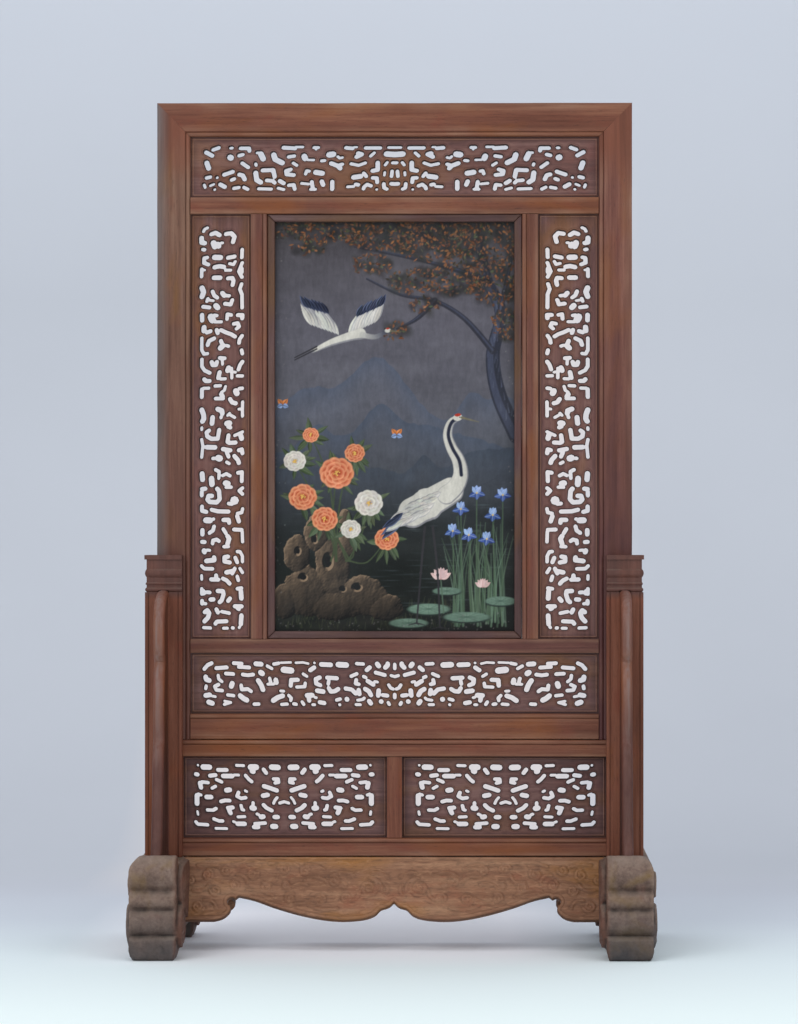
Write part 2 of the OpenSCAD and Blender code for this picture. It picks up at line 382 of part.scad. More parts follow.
// Saw cuts of a side panel on a field of 43 by 404.5: distance from the stile, height
side_field = [43, 404.5];
side_cuts = [
    [2.8, [3.4, 399.2], [4.6, 401.5], [7, 402.6]], [4, [11, 396.4], [15, 397.8], [18.8, 395.4]],
    [3.9, [25, 396.6], [30, 397.4], [33.2, 394], [31.8, 388.6]],
    [4.4, [1.4, 392.6], [1.6, 388], [4.4, 387.4]], [5.6, [13, 387.6], [14.4, 384]],
    [5.4, [17, 386.2], [17.8, 384.6]], [2.6, [20, 387.6], [21.5, 387.6]],
    [3.4, [2.8, 381.2], [4.2, 380.8]], [3.5, [6.8, 373], [4, 372.4], [3.8, 367.6], [8, 366]],
    [5.2, [14, 373.2], [19.5, 373]], [3.9, [27, 372.8], [33.2, 374]],
    [2.9, [28.5, 367], [32.3, 366], [33.8, 369]], [3.2, [40.6, 381], [40.3, 373]],
    [4.2, [14, 363.3], [19, 364.4], [23, 363.6]], [2.8, [24.6, 360.4], [29.5, 360.4]],
    [3.2, [40.6, 367.8], [37.4, 359.2], [40.4, 353.4]], [3.4, [40.2, 362], [40.2, 358]],
    [3.2, [1.6, 361.4], [1.4, 354]], [2.4, [1.8, 360.8], [4.2, 360.4]],
    [4.4, [13.5, 352.8], [19.3, 352.8]], [3.8, [27, 352.2], [31, 352.6], [32.2, 349.8], [31.4, 345.6]],
    [4.8, [1.8, 342.6], [3.4, 338.4], [1.8, 333.8]], [3.4, [12, 339], [13.6, 335], [16.6, 332.8]],
    [4.2, [21.4, 337.4], [23.5, 334.8]], [3.2, [25, 335], [28, 334.6]], [3.2, [7.4, 331.8], [6.6, 329.2]],
    [2.4, [9, 330.4], [12.8, 329.7]], [3.2, [40, 346.5], [38.4, 341.5], [40.4, 336], [40.6, 322.8]],
    [3.6, [24, 326.8], [29.5, 326], [31, 330.4]], [3.6, [3, 323.8], [9, 323]],
    [5, [15, 325], [17, 322.8]], [4, [1.8, 315.5], [2, 310]], [6.6, [10.5, 313.5], [12, 310.4]],
    [2.8, [14, 308.6], [20.5, 308.6]], [3.2, [13.5, 315.2], [16, 314.8]],
    [3.3, [26, 311.5], [26.4, 316.2], [30, 315.4]], [3.8, [36.5, 315.4], [40.8, 315.4], [40.6, 312.2]],
    [3.4, [32.5, 306.6], [36.3, 307.4], [37.6, 304], [35.2, 301.8]], [4.6, [3.8, 303.2], [3.6, 299.5]],
    [3.8, [6.5, 298], [10, 299.2]], [3.8, [16, 300.4], [17, 297.4]],
    [3.5, [20, 300.4], [25, 298], [30, 296.2], [33.8, 293.8]],
    [3, [1.6, 292.2], [1.6, 280.4], [3.6, 276.4], [7, 276.8]],
    [3.8, [7.2, 285.5], [8.6, 289.5], [13.5, 292]], [3.4, [40.4, 294.6], [38, 291], [37.6, 287.6]],
    [3.6, [20, 289.5], [21.5, 286]], [5, [22, 284.8], [19.6, 282.4]], [2.8, [25, 285], [27.4, 284.2]],
    [3.2, [40, 280.2], [40.8, 276.8]], [3.6, [19, 272.4], [23.5, 272]], [2.6, [21.4, 270], [21.6, 266.2]],
    [3.2, [1.7, 271], [1.7, 264], [4.2, 260], [9.3, 257.4]],
    [3.9, [11.2, 268.2], [12.2, 265.4], [15.3, 265.4], [16.2, 268.4]],
    [3.6, [40.8, 268.6], [38.6, 265.4], [37, 260.8]], [4.8, [27.5, 262.4], [26.6, 259.8]],
    [2.8, [30.4, 262], [30.6, 252.6]], [2.4, [33, 258.4], [34.2, 258]],
    [2.9, [35.8, 254.6], [40.8, 254.4]], [4, [18.8, 258], [17.6, 252.4]],
    [2.8, [20, 251.4], [24.2, 251.6]], [3.8, [4, 251], [5.6, 249.3], [9, 249.3]],
    [2.9, [14.4, 244.4], [19.6, 244.6]], [2.6, [24.4, 243.8], [23.4, 240], [20.6, 238]],
    [3.2, [15, 231.8], [22.3, 231.8]], [4.2, [20.4, 236], [21.8, 233.6]], [3.6, [1.8, 241], [1.6, 233.4]],
    [2.8, [3, 242], [8.3, 242.2]], [5.4, [34.5, 239.3], [35.5, 237]], [3.2, [37.6, 241.6], [40.6, 242]],
    [3.8, [28.8, 231.2], [31, 228], [34.4, 226.9]], [2.8, [41, 228.2], [40.8, 220], [40.9, 214.4]],
    [2.4, [37.5, 221.2], [40, 221.4]], [4.6, [1.6, 220.3], [3.2, 216], [3.6, 211.4], [2.2, 209]],
    [4.4, [17, 221.2], [21, 219.6], [21.4, 216.6]], [3, [20.6, 214.2], [20.2, 212.8]],
    [2.6, [28.4, 216.8], [26.6, 215]], [2.4, [29, 215.4], [33.4, 212.8]],
    [4.4, [12, 212.8], [11.4, 206.8]], [5.4, [26, 206.8], [28.2, 207]], [3.6, [27, 203.8], [29.2, 202.8]],
    [2.6, [1.6, 202.4], [1.6, 200.8]],
    [3.7, [8.5, 199.6], [6.2, 198], [6.8, 193.8], [11, 191.4], [17, 191.6], [18.4, 200.2]],
    [3.7, [27.4, 194.8], [26.5, 188.4], [28.4, 187.3], [34.2, 187.7]],
    [2.8, [40.8, 198.2], [33.4, 194.8]], [4.6, [39.2, 195], [40, 191.8]],
    [2.8, [1.5, 190.6], [2.6, 184.4], [1.5, 173.2]], [4.2, [6.2, 183.1], [14.4, 182.8]],
    [3.8, [22, 181.2], [29.2, 179.8]], [3.6, [25.6, 178], [27.5, 173.6]],
    [3.6, [37.4, 180], [40.2, 180.8], [40.8, 177]], [2.9, [12.4, 171.8], [14, 171.8]],
    [6, [17.4, 172.2], [19, 171.8]], [3.9, [33, 174.2], [36.4, 170.4], [37.4, 167.4]],
    [2.7, [25.6, 168.1], [28, 166.7]], [3, [15, 160.4], [18.4, 158.4], [18, 152]],
    [4.6, [1.9, 156.4], [2.4, 150.6]], [2.9, [21.8, 154.6], [25.2, 156.4], [28.8, 154.4]],
    [5.2, [11, 151.6], [11.4, 145.8]], [5.4, [24.6, 147], [26.8, 146.4]], [2.8, [25, 143], [30, 143]],
    [3.4, [36.6, 157.4], [40.4, 158], [40.2, 149]], [3.8, [1.8, 141], [5, 141.4]],
    [3.6, [1.6, 138.6], [1.6, 134.8]], [3.2, [40.8, 142], [37.8, 139.4], [40.8, 136.2]],
    [4, [11.4, 134.2], [8, 134.2], [7, 130.6], [9.2, 128.2], [16, 127.8], [18.8, 131], [18.2, 139.2],
        [16.4, 141.4]],
    [8.2, [33.2, 129.6]], [3.2, [27.6, 126.6], [31, 126.2]],
    [3.6, [1.8, 123.5], [1.8, 119.4], [6, 118.2]], [3.5, [11, 120.4], [17, 118.8], [27.4, 118.5]],
    [2.9, [41, 121.2], [40.2, 117.6], [36, 116.6]], [3.8, [35.8, 114], [37.4, 108.8]],
    [5.4, [5.6, 109.9], [9.8, 109.7]], [2.8, [12, 110.8], [13, 111]],
    [3.8, [22.6, 110.2], [27.6, 110.2], [28, 107.4]], [3.4, [13.4, 103.6], [12.4, 99.6], [9, 97.2]],
    [4, [2.2, 99.8], [2.2, 95.8]], [3.3, [22.4, 101], [25, 96.6]],
    [4.2, [26.4, 94], [28, 91.4], [26.4, 86]], [2.8, [23, 83.4], [27.4, 83.6]],
    [3.2, [32.6, 100.6], [40.2, 100.2]], [2.8, [40.6, 98.6], [41, 88.4]],
    [3.3, [12, 86.6], [12.4, 89.6], [16, 90.5], [18.1, 89]], [3.4, [1.8, 88.2], [4.4, 88]],
    [4.6, [3.8, 79.3], [4.2, 78.2]], [2.4, [6.6, 80], [9.2, 79.7]],
    [2.9, [36, 78.4], [38.6, 78.2], [40.8, 74], [40.8, 68.4]], [4.2, [13.4, 72.4], [13.6, 70], [6, 69]],
    [3.7, [27, 73.4], [23.5, 72.8], [23.5, 68.6], [28.6, 67.6]], [3.6, [34, 72.2], [35.8, 67.8]],
    [3, [1.4, 64], [4, 61.4], [12, 61.2]], [4, [25.4, 57.6], [31, 58.8]], [3.6, [33.4, 61.4], [31, 56.6]],
    [2.9, [38.4, 61.5], [40.8, 57.6]], [2.4, [1.4, 54.4], [1.5, 50.8]], [3.8, [15.4, 54.4], [15.6, 51.4]],
    [3.6, [10.6, 50.6], [17.6, 50.4]], [3.6, [22, 51.4], [25.6, 49.6], [28.4, 46.4]],
    [3.2, [35.8, 53.6], [36.9, 49.8]], [5, [2.6, 38.6], [3.4, 37.2]], [3.2, [6.4, 37.7], [9.3, 37.5]],
    [3.2, [1.6, 41], [1.6, 36]], [3.8, [17, 39], [22, 38.8], [22.6, 35.6], [20.8, 29.6], [18.8, 27.9]],
    [3.2, [36, 41.2], [40, 41.8]], [4.2, [39.4, 39], [39.8, 31.6]], [3.8, [10, 30.4], [12.9, 30.6]],
    [3.8, [28.8, 31.4], [27, 29.2]], [3.6, [1.9, 29], [1.9, 26.4]], [2.8, [3.8, 26.4], [5.4, 26.3]],
    [3.8, [33.6, 23.6], [40, 23.6]], [3.8, [36, 22], [37.4, 21]],
    [4, [4.6, 17.8], [7, 19.6], [8.8, 17], [7.6, 12.4], [4.2, 8.6]], [3.8, [15.8, 20.4], [17.2, 17.6]],
    [3, [21, 18.3], [28, 16.8]], [4, [39.9, 14.4], [39.3, 5.8]], [2.4, [37.6, 2.4], [38.4, 3.4]],
    [3.5, [14.7, 6.2], [16.4, 8.3], [25.4, 8.7]], [2.7, [3.4, 2.3], [10, 2]],
    [2.4, [22.6, 1.7], [26.4, 1.8]], [2.7, [31, 2], [32, 2]]
];

// Catmull-Rom point between b and c, and a smooth run through a list of points
function between(a, b, c, d, t) =
    0.5 * (2 * b + (c - a) * t + (2 * a - 5 * b + 4 * c - d) * t * t + (3 * b - a - 3 * c + d) * t * t * t);
function smooth(points, steps = curve_steps) = [
    for (i = [0 : len(points) - 2])
        for (j = [0 : steps - 1])
            between(points[max(i - 1, 0)], points[i], points[i + 1], points[min(i + 2, len(points) - 1)],
                j / steps),
    points[len(points) - 1]
];

// Flips the right-hand piece to make the left-hand one, or the front piece to make the rear one
module on_left() { mirror([1, 0, 0]) children(); }
module on_rear() { mirror([0, 1, 0]) children(); }

// A block between two opposite corners
module block(low, high) { translate(low) cube(high - low); }

// An outline in the plane of the screen, with depth from y0 to y1
module face_slab(y0, y1) { translate([0, y1, 0]) rotate([90, 0, 0]) linear_extrude(y1 - y0) children(); }

// An outline seen from the side, with width from x0 to x1
module side_slab(x0, x1) { translate([x0, 0, 0]) rotate([90, 0, 90]) linear_extrude(x1 - x0) children(); }

// A rod along Y or along X
module rod_y(x, z, y0, y1, r) {
    translate([x, y1, z]) rotate([90, 0, 0]) cylinder(r = r, h = y1 - y0, $fn = 32);
}
module rod_x(y, z, x0, x1, r) {
    translate([x0, y, z]) rotate([0, 90, 0]) cylinder(r = r, h = x1 - x0, $fn = 32);
}
module rod_z(x, y, z0, z1, r) { translate([x, y, z0]) cylinder(r = r, h = z1 - z0, $fn = 32); }

// One saw cut: round ends and straight runs between its points
module saw_cut(cut) {
    w = cut[0] + saw_spread;
    for (i = [1 : len(cut) - 1])
        translate(cut[i]) circle(d = w, $fn = saw_fn);
    if (len(cut) > 2)
        for (i = [1 : len(cut) - 2]) {
            run = cut[i + 1] - cut[i];
            translate(cut[i]) rotate(atan2(run[1], run[0])) translate([0, -w / 2]) square([norm(run), w]);
        }
}

// A pierced panel: its board from low to high, its design drawn on a field from its own origin
module pierced_board(low, high, field_low, field_size, design_size, cuts, mirrored) {
    stretch = [field_size[0] / (design_size[0] * (mirrored ? 2 : 1)), field_size[1] / design_size[1]];
    offset(delta = saw_ease)
        offset(delta = -saw_ease)
            difference() {
                translate(low) square(high - low);
                translate([field_low[0] + (mirrored ? field_size[0] / 2 : 0), field_low[1]])
                    scale(stretch)
                        for (cut = cuts) {
                            saw_cut(cut);
                            if (mirrored)
                                mirror([1, 0]) saw_cut(cut);
                        }
            }
}

// The insert's members

// Groove for a fretwork panel, between two corners given as [x, z]
module fret_groove(low, high) {
    block([low[0], fret_front - fit_gap, low[1]], [high[0], fret_back + fit_gap, high[1]]);
}

// A tenon, and the mortise that takes it, between two corners given as [x, z]
module tenon(low, high) { block([low[0], -tenon_t / 2, low[1]], [high[0], tenon_t / 2, high[1]]); }
module mortise(low, high, end) {
    block([low[0] - end[0], -tenon_t / 2 - fit_gap, low[1] - max(end[1], fit_gap)],
        [high[0] + end[0], tenon_t / 2 + fit_gap, high[1] + max(end[1], fit_gap)]);
}

// Places of the rail tenons in a stile, low and high corner as [x, z]
function rail_tenon(z0, z1) =
    [[stile_in, z0 + tenon_shoulder], [stile_in + rail_tenon_l, z1 - tenon_shoulder]];
stile_tenons = [
    rail_tenon(insert_low, lower_fret_low),
    rail_tenon(lower_fret_high, picture_low),
    rail_tenon(picture_high, top_fret_low),
    rail_tenon(top_fret_high, insert_top)
];

// Both ends of a rail's tenons
module rail_tenons(i) {
    t = stile_tenons[i];
    tenon(t[0] - [past, 0], t[1]);
    on_left() tenon(t[0] - [past, 0], t[1]);
}

// Small groove that sets off the bead along an edge, as a long cut in the front face
module quirk_cut(x0, x1, z0, z1) {
    block([x0, insert_front - past, z0], [x1, insert_front + quirk, z1]);
}

module stile() {
    difference() {
        face_slab(insert_front, insert_back)
            polygon([[stile_in, insert_low], [stile_out, insert_low], [stile_out, insert_top],
                [stile_in, top_fret_high]]);
        fret_groove([stile_in - past, lower_fret_low - groove_d],
            [stile_in + groove_d, top_fret_high + groove_d]);
        for (t = stile_tenons)
            mortise(t[0], t[1], [end_gap, 0]);
        bead_in = stile_in + edge_bead_w;
        quirk_cut(bead_in, bead_in + quirk, insert_low - past, insert_top + past);
        for (z = frame_peg_heights)
            rod_y(frame_peg_x, z, -tenon_t, insert_back + past, peg_r + peg_gap);
    }
}
module right_stile() { color(frame_wood) stile(); }
module left_stile() { color(frame_wood) on_left() stile(); }

// Heights of the pegs through the tenons of the top and the bottom rail
frame_peg_heights = [(insert_low + lower_fret_low) / 2, top_fret_high + top_rail_h * 0.33];

module frame_peg_holes() {
    for (z = frame_peg_heights)
        for (x = [-frame_peg_x, frame_peg_x])
            rod_y(x, z, -tenon_t, insert_back + past, peg_r + peg_gap);
}

module top_rail() {
    color(frame_wood) difference() {
        union() {
            face_slab(insert_front, insert_back)
                polygon([[-stile_out, insert_top], [-stile_in, top_fret_high], [stile_in, top_fret_high],
                    [stile_out, insert_top]]);
            rail_tenons(3);
        }
        fret_groove([-stile_in - groove_d, top_fret_high - past],
            [stile_in + groove_d, top_fret_high + groove_d]);
        quirk_cut(-stile_out, stile_out, top_fret_high + edge_bead_w, top_fret_high + edge_bead_w + quirk);
        frame_peg_holes();
    }
}

module bottom_rail() {
    color(frame_wood) difference() {
        union() {
            block([-stile_in, insert_front, insert_low], [stile_in, insert_back, lower_fret_low]);
            rail_tenons(0);
        }
        fret_groove([-stile_in - groove_d, lower_fret_low - groove_d],
            [stile_in + groove_d, lower_fret_low + past]);
        quirk_cut(-stile_in - past, stile_in + past, lower_fret_low - edge_bead_w - quirk,
            lower_fret_low - edge_bead_w);
        frame_peg_holes();
    }
}

// Low and high corner of the mullion's tenons, as [x, z]
mullion_tenons = [
    [[mullion_in + tenon_shoulder, picture_low - short_tenon_l], [mullion_out - tenon_shoulder, picture_low]],
    [[mullion_in + tenon_shoulder, picture_high],
        [mullion_out - tenon_shoulder, picture_high + short_tenon_l]]
];

module mullion_mortise(i) {
    t = mullion_tenons[i];
    mortise(t[0], t[1], [fit_gap, end_gap]);
    on_left() mortise(t[0], t[1], [fit_gap, end_gap]);
}

module upper_cross_rail() {
    color(frame_wood) difference() {
        union() {
            block([-stile_in, insert_front, picture_high], [stile_in, insert_back, top_fret_low]);
            rail_tenons(2);
        }
        fret_groove([-stile_in - groove_d, top_fret_low - groove_d],
            [stile_in + groove_d, top_fret_low + past]);
        side_fret_grooves(picture_high - past, picture_high + groove_d);
        mullion_mortise(1);
        pin_holes();
    }
}

module lower_cross_rail() {
    color(frame_wood) difference() {
        union() {
            block([-stile_in, insert_front, lower_fret_high], [stile_in, insert_back, picture_low]);
            rail_tenons(1);
        }
        fret_groove([-stile_in - groove_d, lower_fret_high - past],
            [stile_in + groove_d, lower_fret_high + groove_d]);
        side_fret_grooves(picture_low - groove_d, picture_low + past);
        mullion_mortise(0);
        pin_holes();
    }
}

// Grooves for both side panels in a cross rail
module side_fret_grooves(z0, z1) {
    fret_groove([mullion_out - groove_d, z0], [stile_in + groove_d, z1]);
    on_left() fret_groove([mullion_out - groove_d, z0], [stile_in + groove_d, z1]);
}

module mullion() {
    difference() {
        union() {
            block([mullion_in, insert_front, picture_low], [mullion_out, insert_back, picture_high]);
            tenon(mullion_tenons[0][0], mullion_tenons[0][1] + [0, past]);
            tenon(mullion_tenons[1][0] - [0, past], mullion_tenons[1][1]);
        }
        fret_groove([mullion_out - groove_d, picture_low - short_tenon_l - past],
            [mullion_out + past, picture_high + short_tenon_l + past]);
        quirk_cut(mullion_in + edge_bead_w - quirk, mullion_in + edge_bead_w, picture_low - past,
            picture_high + past);
        pin_holes();
    }
}
module right_mullion() { color(frame_wood) mullion(); }
module left_mullion() { color(frame_wood) on_left() mullion(); }

// The fretwork panels reach into their grooves, less a little play
panel_lap = groove_d - end_gap;

module long_fret(z0, z1, field, cuts) {
    color(fret_wood) face_slab(fret_front, fret_back)
        pierced_board([-stile_in - panel_lap, z0 - panel_lap], [stile_in + panel_lap, z1 + panel_lap],
            [-stile_in + long_end_margin, z0 + long_low_margin],
            [2 * (stile_in - long_end_margin), z1 - z0 - long_low_margin - long_high_margin],
            field, cuts, true);
}
module top_fret() { long_fret(top_fret_low, top_fret_high, top_field, top_cuts); }
module lower_fret() { long_fret(lower_fret_low, lower_fret_high, lower_field, lower_cuts); }

// Drawn from the stile inwards, so the panel on the left is the one that isn't flipped
module side_fret() {
    face_slab(fret_front, fret_back)
        pierced_board([-stile_in - panel_lap, picture_low - panel_lap],
            [-mullion_out + panel_lap, picture_high + panel_lap],
            [-stile_in + side_outer_margin, picture_low + side_low_margin],
            [side_fret_w - side_outer_margin - side_inner_margin,
                picture_high - picture_low - side_low_margin - side_high_margin],
            side_field, side_cuts, false);
}
module left_fret() { color(fret_wood) side_fret(); }
module right_fret() { color(fret_wood) on_left() side_fret(); }

// Picture: glazing beads, painted glass, board and battens, one behind the other

// Strip along one edge of the picture opening, its ends mitred; w is its width
module top_strip(w) {
    polygon([[-mullion_in, picture_high], [mullion_in, picture_high], [mullion_in - w, picture_high - w],
        [-mullion_in + w, picture_high - w]]);
}
module bottom_strip(w) {
    polygon([[-mullion_in, picture_low], [mullion_in, picture_low], [mullion_in - w, picture_low + w],
        [-mullion_in + w, picture_low + w]]);
}
module side_strip(w) {
    polygon([[mullion_in, picture_low], [mullion_in, picture_high], [mullion_in - w, picture_high - w],
        [mullion_in - w, picture_low + w]]);
}

module top_glazing_bead() { color(frame_wood) face_slab(bead_front, glass_front) top_strip(glazing_w); }
module bottom_glazing_bead() { color(frame_wood) face_slab(bead_front, glass_front) bottom_strip(glazing_w); }
module right_glazing_bead() { color(frame_wood) face_slab(bead_front, glass_front) side_strip(glazing_w); }
module left_glazing_bead() {
    color(frame_wood) on_left() face_slab(bead_front, glass_front) side_strip(glazing_w);
}

module picture_sheet(y0, y1) {
    block([-mullion_in + end_gap, y0, picture_low + end_gap],
        [mullion_in - end_gap, y1, picture_high - end_gap]);
}
module painted_glass() { color(glass_colour) picture_sheet(glass_front, board_front); }
module backing_board() { color(board_wood) picture_sheet(board_front, batten_front); }

module batten_slab() { face_slab(batten_front, batten_back) children(); }
module top_batten() {
    color(board_wood) difference() {
        batten_slab() top_strip(batten_w);
        pin_holes();
    }
}
module bottom_batten() {
    color(board_wood) difference() {
        batten_slab() bottom_strip(batten_w);
        pin_holes();
    }
}
module side_batten() {
    difference() {
        batten_slab() side_strip(batten_w);
        pin_holes();
    }
}
module right_batten() { color(board_wood) side_batten(); }
module left_batten() { color(board_wood) on_left() side_batten(); }

// Pins through the battens into the mullions and the cross rails, drawn with the given radius
pin_y = (batten_front + batten_back) / 2;
pin_in = mullion_in - batten_w;
side_pin_heights = [for (share = [0.12, 0.5, 0.88]) picture_low + share * (picture_high - picture_low)];
end_pin_places = [-mullion_in * 0.6, mullion_in * 0.6];
module pin_set(r, head) {
    for (z = side_pin_heights) {
        rod_x(pin_y, z, pin_in - head, pin_in + pin_l, r);
        rod_x(pin_y, z, -pin_in - pin_l, -pin_in + head, r);
    }
    for (x = end_pin_places) {
        rod_z(x, pin_y, picture_high - batten_w - head, picture_high - batten_w + pin_l, r);
        rod_z(x, pin_y, picture_low + batten_w - pin_l, picture_low + batten_w + head, r);
    }
}
module pin_holes() { pin_set(pin_r + peg_gap, past); }
module batten_pins() { color(brass_colour) pin_set(pin_r, 0); }

module frame_pegs() {
    color(peg_wood)
        for (z = frame_peg_heights)
            for (x = [-frame_peg_x, frame_peg_x])
                rod_y(x, z, -tenon_t + end_gap, insert_back, peg_r);
}

// The stand's members

// Low and high corner of the stretchers' tenons, as [x, z]
function stretcher_tenon(z0, z1) =
    [[post_in, z0 + tenon_shoulder], [post_in + rail_tenon_l, z1 - tenon_shoulder]];
stretcher_tenons = [stretcher_tenon(foot_h, base_fret_low), stretcher_tenon(base_fret_high, stand_top)];
stretcher_peg_heights = [for (t = stretcher_tenons) (t[0][1] + t[1][1]) / 2];

// Groove for a base panel; the panel lies at mid-depth
base_front = -fret_t / 2;
base_back = fret_t / 2;
module base_groove(low, high) {
    block([low[0], base_front - fit_gap, low[1]], [high[0], base_back + fit_gap, high[1]]);
}

module stretcher(z0, z1, i) {
    block([-post_in, -stretcher_d / 2, z0], [post_in, stretcher_d / 2, z1]);
    t = stretcher_tenons[i];
    tenon(t[0] - [past, 0], t[1]);
    on_left() tenon(t[0] - [past, 0], t[1]);
}

// Quirk along the upper front edge of a stretcher
module stretcher_quirk(z) {
    block([-post_in - past, -stretcher_d / 2 - past, z - edge_bead_w - quirk],
        [post_in + past, -stretcher_d / 2 + quirk, z - edge_bead_w]);
}

module stretcher_peg_holes() {
    for (z = stretcher_peg_heights)
        for (x = [-stand_peg_x, stand_peg_x])
            rod_y(x, z, -tenon_t, post_d / 2 + past, peg_r + peg_gap);
}

module strut_mortise(z0, z1) {
    w = strut_w / 2 - tenon_shoulder;
    mortise([-w, z0], [w, z1], [fit_gap, end_gap]);
}

module upper_stretcher() {
    color(stand_wood) difference() {
        stretcher(base_fret_high, stand_top, 1);
        base_groove([-post_in - groove_d, base_fret_high - past],
            [post_in + groove_d, base_fret_high + groove_d]);
        strut_mortise(base_fret_high, base_fret_high + short_tenon_l);
        stretcher_quirk(stand_top);
        stretcher_peg_holes();
    }
}

module lower_stretcher() {
    color(stand_wood) difference() {
        stretcher(foot_h, base_fret_low, 0);
        base_groove([-post_in - groove_d, base_fret_low - groove_d],
            [post_in + groove_d, base_fret_low + past]);
        strut_mortise(base_fret_low - short_tenon_l, base_fret_low);
        stretcher_quirk(base_fret_low);
        stretcher_peg_holes();
    }
}

module centre_strut() {
    w = strut_w / 2 - tenon_shoulder;
    color(stand_wood) difference() {
        union() {
            block([-strut_side, -strut_d / 2, base_fret_low], [strut_side, strut_d / 2, base_fret_high]);
            tenon([-w, base_fret_low - short_tenon_l], [w, base_fret_high + short_tenon_l]);
        }
        base_groove([strut_side - groove_d, base_fret_low - short_tenon_l - past],
            [strut_side + past, base_fret_high + short_tenon_l + past]);
        base_groove([-strut_side - past, base_fret_low - short_tenon_l - past],
            [-strut_side + groove_d, base_fret_high + short_tenon_l + past]);
    }
}

module base_fret() {
    face_slab(base_front, base_back)
        pierced_board([strut_side + end_gap - groove_d, base_fret_low - panel_lap],
            [post_in + panel_lap, base_fret_high + panel_lap],
            [strut_side + base_inner_margin, base_fret_low + base_low_margin],
            [post_in - strut_side - base_inner_margin - base_outer_margin,
                base_fret_h - base_low_margin - base_high_margin],
            base_field, base_cuts, true);
}
module right_base_fret() { color(fret_wood) base_fret(); }
module left_base_fret() { color(fret_wood) on_left() base_fret(); }

// A moulding round the post's cap: a slab with rounded edges on its front, back and outer side
module rounded_ring(z, r, inset) {
    x0 = post_in;
    x1 = post_out - inset - r;
    y = post_d / 2 - inset - r;
    block([x0, -y, z - r], [x1, y, z + r]);
    rod_x(-y, z, x0, x1, r);
    rod_x(y, z, x0, x1, r);
    rod_y(x1, z, -y, y, r);
    for (side = [-y, y])
        translate([x1, side, z]) sphere(r, $fn = 32);
}
module square_ring(z0, z1, inset) {
    block([post_in, -post_d / 2 + inset, z0], [post_out - inset, post_d / 2 - inset, z1]);
}

// Heights of the cap's mouldings, down from its top, and how far its hollows are cut in
cap_slab_h = cap_h * 0.12;
cap_torus_r = cap_h * 0.155;
cap_bead_r = cap_h * 0.06;
cap_hollow = 1.5;
cap_overhang = 0.5;

module post_body() {
    low = post_top - cap_h;
    square_ring(foot_h, low, 0);
    square_ring(low - past, post_top, cap_hollow);
    square_ring(post_top - cap_slab_h, post_top, -cap_overhang);
    rounded_ring(post_top - cap_h * 0.487, cap_torus_r, -cap_overhang);
    rounded_ring(post_top - cap_h * 0.77, cap_bead_r * 0.7, cap_overhang);
    rounded_ring(post_top - cap_h * 0.93, cap_bead_r, 0);
}

// Post tenon in the foot, and its mortise
module post_tenon(play, end) {
    block([post_mid - tenon_t - play, -post_d * 0.3 - play, foot_h - post_tenon_l - end],
        [post_mid + tenon_t + play, post_d * 0.3 + play, foot_h + past]);
}

// Pegs through the post tenons, from the inner side of the feet
foot_peg_z = foot_h - post_tenon_l / 2;
module foot_peg(r, head) { rod_x(0, foot_peg_z, foot_in - head, post_mid + tenon_t + peg_r, r); }

// Edge lines along the post's front and back faces
module post_quirks() {
    for (x = [post_in + edge_bead_w * 0.6, post_out - edge_bead_w * 0.6 - quirk])
        for (side = [0, 1])
            mirror([0, side, 0])
                block([x, -post_d / 2 - past, foot_h - past],
                    [x + quirk, -post_d / 2 + quirk, post_top - cap_h]);
}

module post() {
    difference() {
        union() {
            post_body();
            post_tenon(0, 0);
        }
        // Groove that the insert slides in, open at the top
        block([post_in - past, insert_front - slide_gap, stand_top],
            [stile_out + slide_gap, insert_back + slide_gap, post_top + past]);
        base_groove([post_in - past, base_fret_low - groove_d],
            [post_in + groove_d, base_fret_high + groove_d]);
        for (t = stretcher_tenons)
            mortise(t[0], t[1], [end_gap, 0]);
        for (z = stretcher_peg_heights)
            rod_y(stand_peg_x, z, -tenon_t, post_d / 2 + past, peg_r + peg_gap);
        foot_peg(peg_r + peg_gap, past);
        post_quirks();
        spandrel_board();
        on_rear() spandrel_board();
    }
}
module right_post() { color(stand_wood) post(); }
module left_post() { color(stand_wood) on_left() post(); }

// Standing spandrel at the front of the right post, with its tongues in post and foot
module spandrel_board() {
    root = -post_d / 2;
    out = function(p) [root - p[0] * spandrel_reach, foot_h + p[1] * spandrel_h];
    low = smooth([for (p = spandrel_low) out(p)]);
    high = smooth([for (p = spandrel_high) out(p)]);
    toe = out(spandrel_low[0]);
    side_slab(post_mid - spandrel_t / 2, post_mid + spandrel_t / 2)
        polygon(concat(
            [[root + spandrel_tongue, foot_h + spandrel_h], [root + spandrel_tongue, foot_h],
                [root, foot_h], [root, foot_h - spandrel_tongue], [toe[0], foot_h - spandrel_tongue]],
            low, high));
}
module right_front_spandrel() { color(stand_wood) spandrel_board(); }
module left_front_spandrel() { color(stand_wood) on_left() spandrel_board(); }
module right_rear_spandrel() { color(stand_wood) on_rear() spandrel_board(); }
module left_rear_spandrel() { color(stand_wood) on_rear() on_left() spandrel_board(); }

